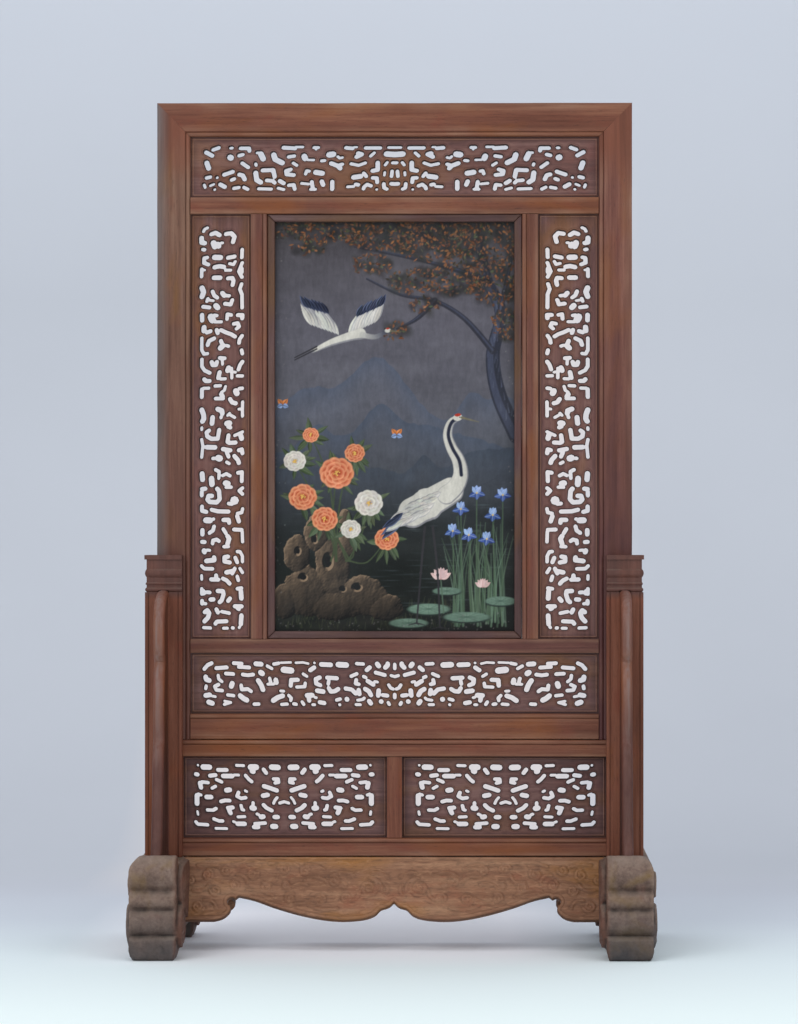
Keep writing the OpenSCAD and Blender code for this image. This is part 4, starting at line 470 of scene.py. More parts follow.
class Field:
    """Signed distance to an outline on a grid, positive inside the wood."""

    def __init__(self, segs, h=0.4, reach=6.0, blur=2):
        self.h = h
        lo = segs.reshape(-1, 2).min(0) - 3 * h
        hi = segs.reshape(-1, 2).max(0) + 3 * h
        self.lo = lo
        self.nx, self.nz = (int(v) for v in np.ceil((hi - lo) / h) + 1)
        self.xs = lo[0] + h * np.arange(self.nx)
        self.zs = lo[1] + h * np.arange(self.nz)
        dist = np.full((self.nz, self.nx), reach * reach)
        flips = np.zeros((self.nz, self.nx + 1), np.int32)
        for (x1, z1), (x2, z2) in segs:
            i0 = max(int((min(x1, x2) - reach - lo[0]) / h), 0)
            i1 = min(int((max(x1, x2) + reach - lo[0]) / h) + 2, self.nx)
            j0 = max(int((min(z1, z2) - reach - lo[1]) / h), 0)
            j1 = min(int((max(z1, z2) + reach - lo[1]) / h) + 2, self.nz)
            X, Z = self.xs[i0:i1][None, :], self.zs[j0:j1][:, None]
            dx, dz = x2 - x1, z2 - z1
            L = dx * dx + dz * dz or 1e-12
            t = np.clip(((X - x1) * dx + (Z - z1) * dz) / L, 0, 1)
            d = (X - x1 - t * dx) ** 2 + (Z - z1 - t * dz) ** 2
            np.minimum(dist[j0:j1, i0:i1], d, out=dist[j0:j1, i0:i1])
            if z1 != z2:
                za, zb = min(z1, z2), max(z1, z2)
                rows = np.nonzero((self.zs >= za) & (self.zs < zb))[0]
                if len(rows):
                    cross = x1 + (self.zs[rows] - z1) * dx / dz
                    cols = np.clip(np.ceil((cross - lo[0]) / h).astype(int), 0, self.nx)
                    np.add.at(flips, (rows, cols), 1)
        inside = np.cumsum(flips, axis=1)[:, :-1] % 2 == 1
        s = np.sqrt(dist) * np.where(inside, 1, -1)
        for _ in range(blur):
            s = blurred(s)
        self.s = s

    def at(self, x, z):
        fx = np.clip((x - self.lo[0]) / self.h, 0, self.nx - 1.001)
        fz = np.clip((z - self.lo[1]) / self.h, 0, self.nz - 1.001)
        i, j = fx.astype(int), fz.astype(int)
        a, b = fx - i, fz - j
        s = self.s
        return (s[j, i] * (1 - a) * (1 - b) + s[j, i + 1] * a * (1 - b) + s[j + 1, i] * (1 - a) * b
                + s[j + 1, i + 1] * a * b)

    def loops(self, level, slack):
        """Closed contours at a level, thinned so that no point lies further than slack from the line."""
        f = self.s - level
        f = np.where(f == 0, 1e-9, f)
        pos = f > 0
        H = pos[:, :-1] != pos[:, 1:]
        V = pos[:-1, :] != pos[1:, :]
        base = self.nz * self.nx
        link = {}

        def joined(a, b):
            link.setdefault(a, []).append(b)
            link.setdefault(b, []).append(a)

        crossed = H[:-1, :].astype(int) + H[1:, :] + V[:, :-1] + V[:, 1:]
        for j, i in zip(*np.nonzero(crossed)):
            bottom, top_e = j * self.nx + i, (j + 1) * self.nx + i
            left, right = base + j * self.nx + i, base + j * self.nx + i + 1
            if crossed[j, i] == 2:
                sides = ((bottom, H[j, i]), (top_e, H[j + 1, i]), (left, V[j, i]), (right, V[j, i + 1]))
                joined(*(e for e, on in sides if on))
            else:
                middle = f[j, i] + f[j, i + 1] + f[j + 1, i] + f[j + 1, i + 1] > 0
                if middle == pos[j, i]:
                    joined(bottom, right)
                    joined(left, top_e)
                else:
                    joined(bottom, left)
                    joined(right, top_e)

        def place(e):
            if e < base:
                j, i = divmod(e, self.nx)
                t = f[j, i] / (f[j, i] - f[j, i + 1])
                return (self.xs[i] + t * self.h, self.zs[j])
            j, i = divmod(e - base, self.nx)
            t = f[j, i] / (f[j, i] - f[j + 1, i])
            return (self.xs[i], self.zs[j] + t * self.h)

        used, out = set(), []
        for first in link:
            if first in used:
                continue
            loop, here, last = [], first, None
            while here not in used:
                used.add(here)
                loop.append(place(here))
                nxt = [n for n in link[here] if n != last and n not in used]
                last = here
                if not nxt:
                    break
                here = nxt[0]
            if len(loop) > 7:
                out.append(thin(loop, slack))
        return [p for p in out if len(p) > 2]


def thin(loop, slack):
    """Drops the points of a closed loop that lie within slack of the line between their neighbours."""
    pts = np.array(loop)
    n = len(pts)
    far = int(np.argmax(((pts - pts[0]) ** 2).sum(1)))
    keep = {0, far}
    stack = [(0, far), (far, n)]
    while stack:
        a, b = stack.pop()
        if b - a < 2:
            continue
        p, q = pts[a], pts[b % n]
        d = q - p
        L = math.hypot(*d) or 1e-9
        seg = pts[a + 1:b]
        off = np.abs((seg[:, 0] - p[0]) * d[1] - (seg[:, 1] - p[1]) * d[0]) / L
        k = int(np.argmax(off))
        if off[k] > slack or (b - a) * 0.4 > 5.5:
            if off[k] <= slack:
                k = (b - a) // 2 - 1
            keep.add(a + 1 + k)
            stack += [(a, a + 1 + k), (a + 1 + k, b)]
    return [tuple(pts[i]) for i in sorted(keep)]


def relief(name, segs, place, thick, levels, extra, body, mat, node, back_scale=1.0, h=0.4, slack=0.05,
           mirrored=(), shape=None, inner=(), blur=2, trim=None):
    """A pierced or cut-out board with a modelled face. levels are (distance inside the edge, height, tone);
    extra are (loop, height, tone); place turns (u, v, height) into a point, with heights from the face.
    The back has the same relief, less deep. mirrored holds (name, place, node, mat, flip) of more copies."""
    field = Field(segs, h=h, blur=blur)
    if trim:
        field.s = field.s - trim(field)
    pts, heights, tones, edges = [], [], [], []
    rings = [(loop, height, tone) for d, height, tone in levels for loop in field.loops(d, slack)]
    for loop, height, tone in rings + extra:
        s, n = len(pts), len(loop)
        pts += loop
        heights += [height] * n
        tones += [tone] * n
        edges += [(s + i, s + (i + 1) % n) for i in range(n)]
    pts += [tuple(p) for p in inner]
    heights += [0.0] * len(inner)
    tones += [0.0] * len(inner)
    vs, _, fs, origin, _, _ = delaunay_2d_cdt([Vector(p) for p in pts], edges, [], 0, 1e-5)
    v2 = np.array([(v.x, v.y) for v in vs])
    tri = np.array([f for f in fs if len(f) == 3])
    centre = v2[tri].mean(axis=1)
    tri = tri[field.at(centre[:, 0], centre[:, 1]) > levels[0][0]]
    n = len(v2)
    hv, tv = np.full(n, float(levels[-1][1])), np.zeros(n)
    for k, o in enumerate(origin):
        if o:
            hv[k], tv[k] = heights[o[0]], tones[o[0]]
    if shape:
        more, shade = shape(v2, field.at(v2[:, 0], v2[:, 1]))
        hv, tv = hv + more, tv + shade
    ordered = []
    for t in tri:
        a, b, c = v2[t[0]], v2[t[1]], v2[t[2]]
        area = (b[0] - a[0]) * (c[1] - a[1]) - (b[1] - a[1]) * (c[0] - a[0])
        ordered.append((t[0], t[1], t[2]) if area > 0 else (t[0], t[2], t[1]))
    faces = ordered + [(c + n, b + n, a + n) for a, b, c in ordered]
    walls = dict.fromkeys(e for a, b, c in ordered for e in ((a, b), (b, c), (c, a)))
    faces += [(b, a, a + n, b + n) for a, b in walls if (b, a) not in walls]
    tone = np.concatenate([tv, tv * 0.6])
    used = sorted({i for f in faces for i in f})
    index = {k: i for i, k in enumerate(used)}
    faces = [tuple(index[i] for i in f) for f in faces]

    for name, place, node, mat, flip in ((name, place, node, mat, False), *mirrored):
        verts = [place(p[0], p[1], float(z)) for p, z in zip(v2, hv)]
        verts += [place(p[0], p[1], -thick - float(z) * back_scale) for p, z in zip(v2, hv)]
        turned = [tuple(reversed(f)) for f in faces] if flip else faces
        make(name, [verts[i] for i in used], turned, body, mat, node, tone[used], 32)


# Scroll fretwork: rounded webs with painted shade on their edges, a faint painted highlight on top and
# painted shade in a faint line cut beside them, and a lipped margin
FRET_LEVELS = [(0.0, -1.2, -0.85), (0.3, -0.55, -0.7), (0.65, -0.15, -0.35), (1.05, 0.0, 0.1),
               (1.5, -0.04, 0.1), (1.8, -0.3, -0.3), (2.15, -0.06, 0.0), (2.7, 0.0, 0.08)]


PARED_LEAST, PARED_MOST, PARED_RATE = 0.03, 0.36, 0.30


def pared(field):
    """How much wood the carver pared away at each place: little from thin webs, more from wide ones."""
    near = field.s
    for _ in range(40):
        near = blurred(near)
    return np.clip(PARED_LEAST + PARED_RATE * near, PARED_LEAST, PARED_MOST)


def lip(x0, x1, z0, z1):
    """Loops of the raised lip just inside a panel's opening, and the flat behind it."""
    out = []
    # Tones: painted shade at the opening's edge and at the lip's foot, and a painted highlight on its crest
    for inset, height, tone in ((0.3, -0.2, -0.6), (1.0, -0.15, -0.3), (1.5, 0.45, 0.2), (2.1, 0.75, 0.55),
                                (2.7, 0.45, 0.2), (3.2, -0.1, -0.3)):
        a0, a1, b0, b1 = x0 + inset, x1 - inset, z0 + inset, z1 - inset
        corners = [(a0, b0), (a1, b0), (a1, b1), (a0, b1), (a0, b0)]
        loop = []
        for p, q in zip(corners, corners[1:]):
            n = max(1, int(math.dist(p, q) / 14))
            loop += [(p[0] + (q[0] - p[0]) * i / n, p[1] + (q[1] - p[1]) * i / n) for i in range(n)]
        out.append((loop, height, tone))
    return out


def fret(node, x0, x1, z0, z1, body, mat, twin=None):
    """A pierced panel in the opening given; twin is the node and the wood of its mirror image."""
    lo, hi = box_mm(node)
    segs = outline(node, lambda c: (c[:, 0], c[:, 2]), lambda c: c[:, 1], lambda d: d.min())
    mirrored = ()
    if twin:
        mirrored = ((twin[0] + "_relief", lambda u, v, z: (-u, lo[1] - z, v), *twin, True),)
    relief(node + "_relief", segs, lambda u, v, z: (u, lo[1] - z, v), hi[1] - lo[1], FRET_LEVELS,
           lip(x0, x1, z0, z1), body, mat, node, 0.7, mirrored=mirrored, blur=1, trim=pared)


fret("top_fret", -STILE_IN, STILE_IN, upper_hi[2], TOP_IN, "insert", wood_for("fret", "x", 11.0))
fret("lower_fret", -STILE_IN, STILE_IN, bottom_hi[2], lower_lo[2], "insert", wood_for("base", "x", 12.5))
fret("left_fret", -STILE_IN, -MULL_OUT, PIC_LO, PIC_HI, "insert", wood_for("fret", "z", 13.7),
     ("right_fret", wood_for("fret", "z", 14.2)))
fret("right_base_fret", strut_hi[0], POST_IN, lost_hi[2], upst_lo[2], "stand", wood_for("base", "x", 15.1),
     ("left_base_fret", wood_for("base", "x", 16.4)))

# Posts, strut and the small flat members: the node's own shape with softened edges

def welded(node):
    """A joined-up copy of a node's mesh, with its flat faces whole."""
    bm = bmesh.new()
    bm.from_mesh(nodes[node].data)
    bmesh.ops.remove_doubles(bm, verts=bm.verts, dist=2e-6)
    bmesh.ops.dissolve_limit(bm, angle_limit=math.radians(0.6), verts=bm.verts, edges=bm.edges)
    mesh = bpy.data.meshes.new(node + "_copy")
    bm.to_mesh(mesh)
    bm.free()
    return mesh


def give(mesh, mat):
    """Makes a material the only one of a mesh."""
    mesh.materials.clear()
    mesh.materials.append(mat)


def softened(node, ending, mat, body, width, segments=2):
    """The node's shape with rounded edges; width is in millimetres."""
    mesh = welded(node)
    give(mesh, mat)
    mesh.shade_smooth()
    obj = piece(node + ending, mesh, body, node)
    bevel = obj.modifiers.new("soft_edges", "BEVEL")
    bevel.width = width * MM
    bevel.segments = segments
    bevel.limit_method = "ANGLE"
    bevel.angle_limit = math.radians(38)
    obj.modifiers.new("flat_faces", "WEIGHTED_NORMAL").weight = 100


def curvature(verts, edges, normals, blur=3):
    """How far each point stands out from its neighbours."""
    n = len(verts)
    total, count = np.zeros((n, 3)), np.zeros(n)
    for a, b in ((0, 1), (1, 0)):
        np.add.at(total, edges[:, a], verts[edges[:, b]])
        np.add.at(count, edges[:, a], 1)
    out = ((verts - total / np.maximum(count, 1)[:, None]) * normals).sum(1)
    for _ in range(blur):
        s = out.copy()
        np.add.at(s, edges[:, 0], out[edges[:, 1]])
        np.add.at(s, edges[:, 1], out[edges[:, 0]])
        out = s / (count + 1)
    return out


def carved(node, mat, body, voxel, smooth, shift):
    """The node's shape with the rounding of age and handling, as one dense skin; voxel is in millimetres."""
    tmp = in_scene("tmp", welded(node))
    r = tmp.modifiers.new("skin", "REMESH")
    r.mode = "VOXEL"
    r.voxel_size = voxel * MM
    s = tmp.modifiers.new("round", "SMOOTH")
    s.factor = 0.5
    s.iterations = smooth
    bpy.context.view_layer.update()
    dg = bpy.context.evaluated_depsgraph_get()
    skin = bpy.data.meshes.new_from_object(tmp.evaluated_get(dg))
    bpy.data.objects.remove(tmp)
    n = len(skin.vertices)
    co, no, edges = np.zeros(n * 3), np.zeros(n * 3), np.zeros(len(skin.edges) * 2, np.int64)
    skin.vertices.foreach_get("co", co)
    skin.vertices.foreach_get("normal", no)
    skin.edges.foreach_get("vertices", edges)
    co, no, edges = co.reshape(-1, 3) * 1000, no.reshape(-1, 3), edges.reshape(-1, 2)
    co = co + no * shift(co)[:, None]
    # Tone from curvature: what stands out gets the lighter colour, wear and painted highlight; hollows get
    # painted shade
    c = curvature(co, edges, no)
    tone = np.clip(c / (np.percentile(np.abs(c), 96) or 1), -1, 1) * 0.8
    skin.vertices.foreach_set("co", (co / 1000).ravel())
    t = skin.attributes.new("tone", "FLOAT", "POINT")
    t.data.foreach_set("value", tone.astype(np.float32))
    give(skin, mat)
    skin.shade_smooth()
    skin.update()
    piece(node + "_body", skin, body, node)


def rough_wear(seed, depth, size):
    """Small dents and hollows over a surface, as a shift along the normal at each point."""
    def shift(co):
        out = np.zeros(len(co))
        for k, p in enumerate(co):
            q = Vector(p) / size + Vector((seed, seed * 2, seed * 3))
            out[k] = -depth * max(0.0, noise.noise(q) + 0.15) - depth * 0.35 * abs(noise.noise(q * 3.1))
        return out
    return shift


# The posts' caps are darker, and the feet get painted shade: greyer low down, and darker and redder on their
# inner faces
cap_fade = ("z", post_hi[2] * MM - 0.044, post_hi[2] * MM - 0.038, CAP)
for way, seed in ((1, 21.0), (-1, 22.6)):
    side = SIDES[way]
    softened(side + "_post", "_body", wood_for("post", "z", seed, dust=0.25, fades=(cap_fade,)),
             "stand", 0.55)
    foot_fades = (("z", 0.062, 0.008, FOOT_LOW_SHADE[side]), ("x", way * 0.2125, way * 0.2065, FOOT_INNER_SHADE))
    foot_wood = wood_for("foot", "y", seed + 3, rough=0.62, dust=0.3, worn=(130, 108, 94), fades=foot_fades)
    carved(side + "_foot", foot_wood, "stand", 1.35, 4, rough_wear(seed, 0.7, 9.0))
softened("centre_strut", "_body", wood_for("rail", "z", 25.0), "stand", 1.2)

# Spandrels: boards with rounded edges and a line cut round them; the rounded nose gets a painted highlight
# and the line painted shade
SPANDREL_LEVELS = [(0.0, -3.6, 0.9), (0.5, -2.1, 0.55), (1.2, -1.15, 0.25), (2.2, -0.4, 0.15),
                   (3.6, 0.0, 0.1), (5.2, 0.0, 0.0), (5.9, -0.9, -0.7), (6.6, -0.1, -0.1), (9.0, 0.0, 0.0)]


def spandrel(way, end):
    node = "%s_%s_spandrel" % (SIDES[way], end)
    lo, hi = box_mm(node)
    out_x = hi[0] if way > 0 else lo[0]
    segs = outline(node, lambda c: (c[:, 1] * way, c[:, 2]), lambda c: c[:, 0] * way, lambda d: d.max())
    relief(node + "_carved", segs, lambda u, v, z: (out_x + z * way, u * way, v), hi[0] - lo[0],
           SPANDREL_LEVELS, [], "stand",
           wood_for("post", "z", 30.0 + len(mats), worn=(119, 99, 94), fades=(("z", 0.27, 0.17, RIB_LOW),)),
           node, h=0.7, slack=0.08)


for way in (-1, 1):
    for end in ("front", "rear"):
        spandrel(way, end)

# Aprons: cloud scrolls in low relief on a leaning board
APRON_LEAN, APRON_RISE = 25.0, 60.5
APRON_SLOPE = math.atan2(APRON_LEAN, APRON_RISE)
APRON_TOP = (upst_hi[1], lost_lo[2])
APRON_THICK = 9.0
APRON_GRID = 1.15  # spacing of the points that carry the carving
APRON_BORDER, APRON_FADE = 4.4, 1.5  # the plain border, and how far the carving takes to full height


def curl(cx, cz, r, start, turns, way=1, steps=16):
    """A small spiral that winds in to its own middle."""
    out = []
    for i in range(steps + 1):
        s = i / steps
        a = math.radians(start) + way * 2 * math.pi * turns * s
        q = r * (1 - 0.78 * s)
        out.append((cx + q * math.cos(a), cz + q * math.sin(a)))
    return out


def bow(p, q, bulge, steps=9):
    """A curved line between two points; bulge is how far its middle stands to one side."""
    dx, dz = q[0] - p[0], q[1] - p[1]
    L = math.hypot(dx, dz)
    return [(p[0] + dx * s - dz / L * bulge * 4 * s * (1 - s),
             p[1] + dz * s + dx / L * bulge * 4 * s * (1 - s))
            for s in (i / steps for i in range(steps + 1))]


# Strokes on one half: distance from the middle, height above the board's lowest line
APRON_STROKES = [
    curl(25, 33, 10, 100, 1.5), bow((12, 30), (24, 43), 4), bow((34, 30), (44, 20), -3),
    curl(48, 22, 5, 200, 1.2, -1),
    bow((6, 44), (22, 48), 2), curl(60, 40, 6, 60, 1.4), bow((40, 46), (60, 47), 2),
    bow((66, 38), (86, 44), 3),
    curl(50, 35, 3.5, 0, 1.2), curl(89, 50, 5, 160, 1.3, -1), bow((70, 52), (88, 56), 2),
    curl(72, 21, 6, 300, 1.3),
    bow((56, 12), (84, 15), -3), bow((80, 22), (98, 17), -2), curl(103, 22, 5.5, 120, 1.4, -1),
    bow((86, 36), (104, 32), 3), curl(108, 35, 4, 80, 1.2), curl(110, 52, 6, 20, 1.4),
    bow((96, 56), (124, 58), 2),
    bow((116, 46), (130, 38), -4), curl(128, 33, 5, 240, 1.3, -1), curl(141, 47, 6, 140, 1.4),
    bow((134, 56), (152, 55), 2),
    bow((120, 24), (146, 30), 3), curl(158, 36, 5, 60, 1.4, -1), bow((146, 38), (156, 46), 3),
    curl(168, 51, 5, 180, 1.2),
    curl(186, 46, 6, 90, 1.4), bow((174, 54), (196, 56), 2), curl(178, 30, 5, 0, 1.3, -1),
    bow((184, 36), (200, 30), -3),
    curl(194, 14, 6, 200, 1.4), bow((176, 12), (188, 20), 3), bow((8, 26), (8, 36), 2),
    curl(203, 40, 3.5, 120, 1.0),
]


def stroke_relief(points):
    """Height and tone that the strokes add at each point: a painted highlight on each ridge, and painted
    shade in the ditch beside it.
    """
    best = np.full(len(points), 30.0)
    for s in APRON_STROKES:
        s = np.array(s)
        near = ((points > s.min(0) - 5) & (points < s.max(0) + 5)).all(1)
        p = points[near]
        if not len(p):
            continue
        d = np.full(len(p), 30.0)
        for a, b in zip(s[:-1], s[1:]):
            ab = b - a
            t = np.clip(((p - a) @ ab) / max(ab @ ab, 1e-9), 0, 1)
            d = np.minimum(d, np.hypot(*(p - a - t[:, None] * ab).T))
        best[near] = np.minimum(best[near], d)
    ridge = np.exp(-(best / 1.0) ** 2)
    ditch = np.exp(-((best - 2.1) / 0.8) ** 2)
    broken = 0.65 + 0.9 * np.array([noise.noise(Vector((x / 7, z / 7, 2.0))) for x, z in points])
    return 0.7 * ridge - 0.4 * ditch, (0.42 * ridge - 0.34 * ditch) * np.clip(broken, 0.1, 1.3)


def apron(node, way, seed):
    """way is -1 for the front board and 1 for the rear one."""
    y0, z0 = APRON_TOP
    up = np.array((0.0, -way * math.sin(APRON_SLOPE), math.cos(APRON_SLOPE)))
    out = np.array((0.0, way * math.cos(APRON_SLOPE), math.sin(APRON_SLOPE)))
    origin = np.array((0.0, way * y0, z0))
    segs = outline(node, lambda c: (c[:, 0] * -way, (c - origin) @ up), lambda c: (c - origin) @ out,
                   lambda d: d.max())
    field = Field(segs, h=0.8, reach=8.0)
    lo, hi = segs.reshape(-1, 2).min(0), segs.reshape(-1, 2).max(0)
    gx, gz = np.meshgrid(np.arange(lo[0], hi[0], APRON_GRID), np.arange(lo[1], hi[1], APRON_GRID))
    inner = np.stack((gx.ravel(), gz.ravel()), 1)
    inner = inner[field.at(inner[:, 0], inner[:, 1]) > APRON_BORDER + 0.5]

    def shape(v2, s):
        p = np.stack((np.abs(v2[:, 0]), v2[:, 1] - lo[1]), 1)
        dh, dt = stroke_relief(p)
        fade = np.clip((s - APRON_BORDER) / APRON_FADE, 0, 1)
        return dh * fade, dt * fade

    # Border tones: painted shade at the edge and in the line near it, and a painted highlight on the rounding
    levels = [(0.0, -1.9, -0.5), (0.45, -0.9, 0.0), (1.2, -0.2, 0.25), (2.1, 0.0, 0.2), (3.2, -0.05, 0.0),
              (3.7, -0.4, -0.2), (4.2, -0.3, -0.05)]
    relief(node + "_carved", segs,
           lambda u, v, z: tuple(origin + np.array((u * -way, 0, 0)) + up * v + out * z), APRON_THICK, levels,
           [], "stand", wood_for("apron", "x", seed, rough=0.55, marks=0.4), node, 0.3, h=0.6,
           slack=0.07, shape=shape, inner=inner)


apron("front_apron", -1, 40.0)
apron("rear_apron", 1, 41.5)

# The picture: a garden with cranes, painted on the glass's front face, which is a fine mesh

PIC_STEP = 0.6  # spacing of the mesh
BEAD_IN = MULL_IN - GLAZING_BEAD


def flowing(points, parts=6):
    """The points of a smooth line through the given ones."""
    p = np.array([points[0], *points, points[-1]], float)
    out = []
    for a, b, c, d in zip(p[:-3], p[1:-2], p[2:-1], p[3:]):
        for t in np.arange(parts) / parts:
            out.append(b + 0.5 * t * (c - a + t * (2 * a - 5 * b + 4 * c - d + t * (3 * (b - c) + d - a))))
    return [*out, p[-1]]


class Picture:
    """A sheet of colours, written as 0 to 255, on a grid in millimetres."""

    def __init__(self, x0, x1, z0, z1):
        self.xs = np.arange(x0, x1, PIC_STEP)
        self.zs = np.arange(z0, z1, PIC_STEP)
        self.rgb = np.zeros((len(self.zs), len(self.xs), 3))

    def window(self, x0, x1, z0, z1):
        i0, i1 = np.searchsorted(self.xs, (x0, x1))
        j0, j1 = np.searchsorted(self.zs, (z0, z1))
        return slice(j0, j1), slice(i0, i1), self.xs[None, i0:i1], self.zs[j0:j1, None]

    def lay(self, js, iz, cover, colour):
        cover = np.clip(cover, 0, 1)[..., None]
        self.rgb[js, iz] = self.rgb[js, iz] * (1 - cover) + np.asarray(colour, float) * cover

    def dab(self, x, z, rx, rz, turn, colour, alpha=1.0, soft=0.25):
        """An oval touch of the brush; turn is in degrees."""
        r = max(rx, rz) + 1
        js, iz, X, Z = self.window(x - r, x + r, z - r, z + r)
        c, s = math.cos(math.radians(turn)), math.sin(math.radians(turn))
        u, v = ((X - x) * c + (Z - z) * s) / rx, (-(X - x) * s + (Z - z) * c) / rz
        self.lay(js, iz, alpha * (1 - np.hypot(u, v)) / soft, colour)

    def line(self, points, widths, colour, alpha=1.0, end_colour=None, soft=0.5):
        """A brush line through points; widths is the width at its start and its end."""
        p = np.array(flowing(points) if len(points) > 2 else points, float)
        n = len(p) - 1
        m = max(widths) / 2 + 1
        js, iz, X, Z = self.window(p[:, 0].min() - m, p[:, 0].max() + m, p[:, 1].min() - m, p[:, 1].max() + m)
        best = np.full((Z.shape[0], X.shape[1]), -9.0)
        share = np.zeros_like(best)
        for k in range(n):
            d = p[k + 1] - p[k]
            t = np.clip(((X - p[k, 0]) * d[0] + (Z - p[k, 1]) * d[1]) / max(d @ d, 1e-9), 0, 1)
            s = (k + t) / n
            off = np.hypot(X - p[k, 0] - t * d[0], Z - p[k, 1] - t * d[1])
            inside = (widths[0] + (widths[1] - widths[0]) * s) / 2 - off
            share = np.where(inside > best, s, share)
            best = np.maximum(best, inside)
        if end_colour is not None:
            share = share[..., None]
            colour = np.asarray(colour, float) * (1 - share) + np.asarray(end_colour, float) * share
        self.lay(js, iz, alpha * (best / soft * 0.5 + 0.5), colour)

    def leaf(self, x, z, length, width, turn, colour, vein=None):
        """A pointed leaf from its stalk at x, z."""
        c, s = math.cos(math.radians(turn)), math.sin(math.radians(turn))
        js, iz, X, Z = self.window(x - length - 1, x + length + 1, z - length - 1, z + length + 1)
        u, v = ((X - x) * c + (Z - z) * s) / length, (-(X - x) * s + (Z - z) * c)
        half = width / 2 * np.sin(np.pi * np.clip(u, 0, 1) ** 0.8)
        inside = np.where((u > 0) & (u < 1), half - np.abs(v), -1)
        self.lay(js, iz, inside / 0.5 + 0.4, np.asarray(colour, float) + np.clip(v, -2, 2)[..., None] * 7)
        if vein is not None:
            self.line([(x, z), (x + length * 0.85 * c, z + length * 0.85 * s)], (0.7, 0.3), vein, 0.7)

    def cloudy(self, cell, seed):
        """Soft random values between -1 and 1 in patches of about cell millimetres."""
        rng = np.random.default_rng(seed)
        w, h = (cell if isinstance(cell, tuple) else (cell, cell))
        nx, nz = int((self.xs[-1] - self.xs[0]) / w) + 3, int((self.zs[-1] - self.zs[0]) / h) + 3
        coarse = rng.uniform(-1, 1, (nz, nx))
        fx, fz = (self.xs - self.xs[0]) / w, (self.zs - self.zs[0]) / h
        i, j = fx.astype(int), fz.astype(int)
        a, b = fx - i, fz - j
        a, b = a * a * (3 - 2 * a), (b * b * (3 - 2 * b))[:, None]
        row = coarse[:, i] * (1 - a) + coarse[:, i + 1] * a
        return row[j] * (1 - b) + row[j + 1] * b


# P0 and P1 are the foot and the head of the part of the picture that shows
COVERED = GLAZING_BEAD - UNDER_BEAD
pic = Picture(-BEAD_IN - UNDER_BEAD, BEAD_IN + UNDER_BEAD, PIC_LO + COVERED, PIC_HI - COVERED)
P0, P1 = PIC_LO + GLAZING_BEAD, PIC_HI - GLAZING_BEAD
rand = random.Random(5)
pick = rand.uniform


def raised(points):
    """Points whose heights are written from the foot of the picture."""
    return [(x, P0 + z) for x, z in points]


def shade(colour, spread_by):
    d = pick(-spread_by, spread_by)
    return [min(255, max(0, c + d + pick(-3, 3))) for c in colour]


# Ground tones from the foot to the head of the picture
stops = [(0, (22, 25, 24)), (60, (26, 31, 29)), (105, (38, 42, 43)), (150, (64, 66, 72)), (215, (90, 89, 97)),
         (310, (94, 91, 100)), (370, (80, 76, 82)), (411, (60, 56, 58))]
for k in range(3):
    tone_at = np.interp(pic.zs - P0, [s[0] for s in stops], [s[1][k] for s in stops])
    pic.rgb[:, :, k] = tone_at[:, None]
pic.rgb += (5 * pic.cloudy(60, 1) + 4 * pic.cloudy((34, 12), 2) + 2 * pic.cloudy((9, 3), 3))[..., None]

# Far hills in mist
for rise, height, tint, seed in ((236, 34, (80, 88, 106), 4), (205, 26, (70, 79, 96), 8),
                                 (176, 20, (60, 68, 80), 13)):
    rng = np.random.default_rng(seed)
    ridge = np.full(len(pic.xs), P0 + rise - height)
    for _ in range(7):
        c, w = rng.uniform(-125, 125), rng.uniform(12, 38)
        ridge += height * rng.uniform(0.3, 1.0) * np.exp(-((pic.xs - c) / w) ** 2)
    ridge += 1.2 * pic.cloudy(5, seed + 1)[0]
    below = ridge[None, :] - pic.zs[:, None]
    cover = np.clip(below / 1.2, 0, 1) * np.exp(-np.clip(below, 0, None) / 24) * 0.8
    pic.lay(slice(None), slice(None), cover, tint)

# Water with pale ripples, and a dark bank
for _ in range(90):
    z = pick(P0 + 18, P0 + 128)
    x = pick(-20, 118) if z < P0 + 80 else pick(-118, 118)
    pic.dab(x, z, pick(7, 22), pick(0.6, 1.2), pick(-2, 2), shade((96, 108, 114), 14), pick(0.12, 0.34), 0.8)
for _ in range(60):
    pic.dab(pick(-125, 10), P0 + pick(-4, 34), pick(12, 30), pick(4, 9), pick(-8, 8),
            shade((36, 38, 33), 8), 0.6, 0.9)
for _ in range(240):
    x, z = pick(-120, 60), P0 + pick(0, 30)
    pic.line([(x, z), (x + pick(-2, 2), z + pick(3, 8))], (0.9, 0.3), shade((70, 76, 52), 16), 0.55)

# Tree from the right: trunk, branches, then leaves in masses
BARK = (66, 70, 88)
trunk = raised([(122, 196), (104, 236), (98, 276), (106, 318), (92, 352), (84, 392)])
boughs = [[(98, 280), (70, 312), (40, 330), (6, 336), (-28, 352)], [(104, 316), (112, 350), (118, 380)],
          [(92, 352), (58, 362), (20, 372), (-40, 384)], [(40, 330), (22, 312), (2, 302)]]
pic.line(trunk, (17, 9), (46, 48, 60))
pic.line([(x - 2.5, z) for x, z in trunk], (8, 4), BARK, 0.8)
for b in map(raised, boughs):
    pic.line(b, (6.5, 1.6), (48, 48, 58))
    pic.line([(x, z + 0.9) for x, z in b], (2.2, 0.7), BARK, 0.7)
for _ in range(70):
    s = pick(0, 4.99)
    k = int(s)
    x, z = (trunk[k][i] + (trunk[k + 1][i] - trunk[k][i]) * (s - k) for i in (0, 1))
    x += pick(-6, 5)
    pic.line([(x, z), (x + pick(-1.5, 1.5), z + pick(4, 10))], (1.1, 0.4), shade((84, 88, 108), 22), 0.5)
LEAVES = ((104, 66, 48), (84, 60, 50), (128, 82, 54), (60, 56, 48), (72, 76, 56), (50, 48, 46), (146, 92, 56))
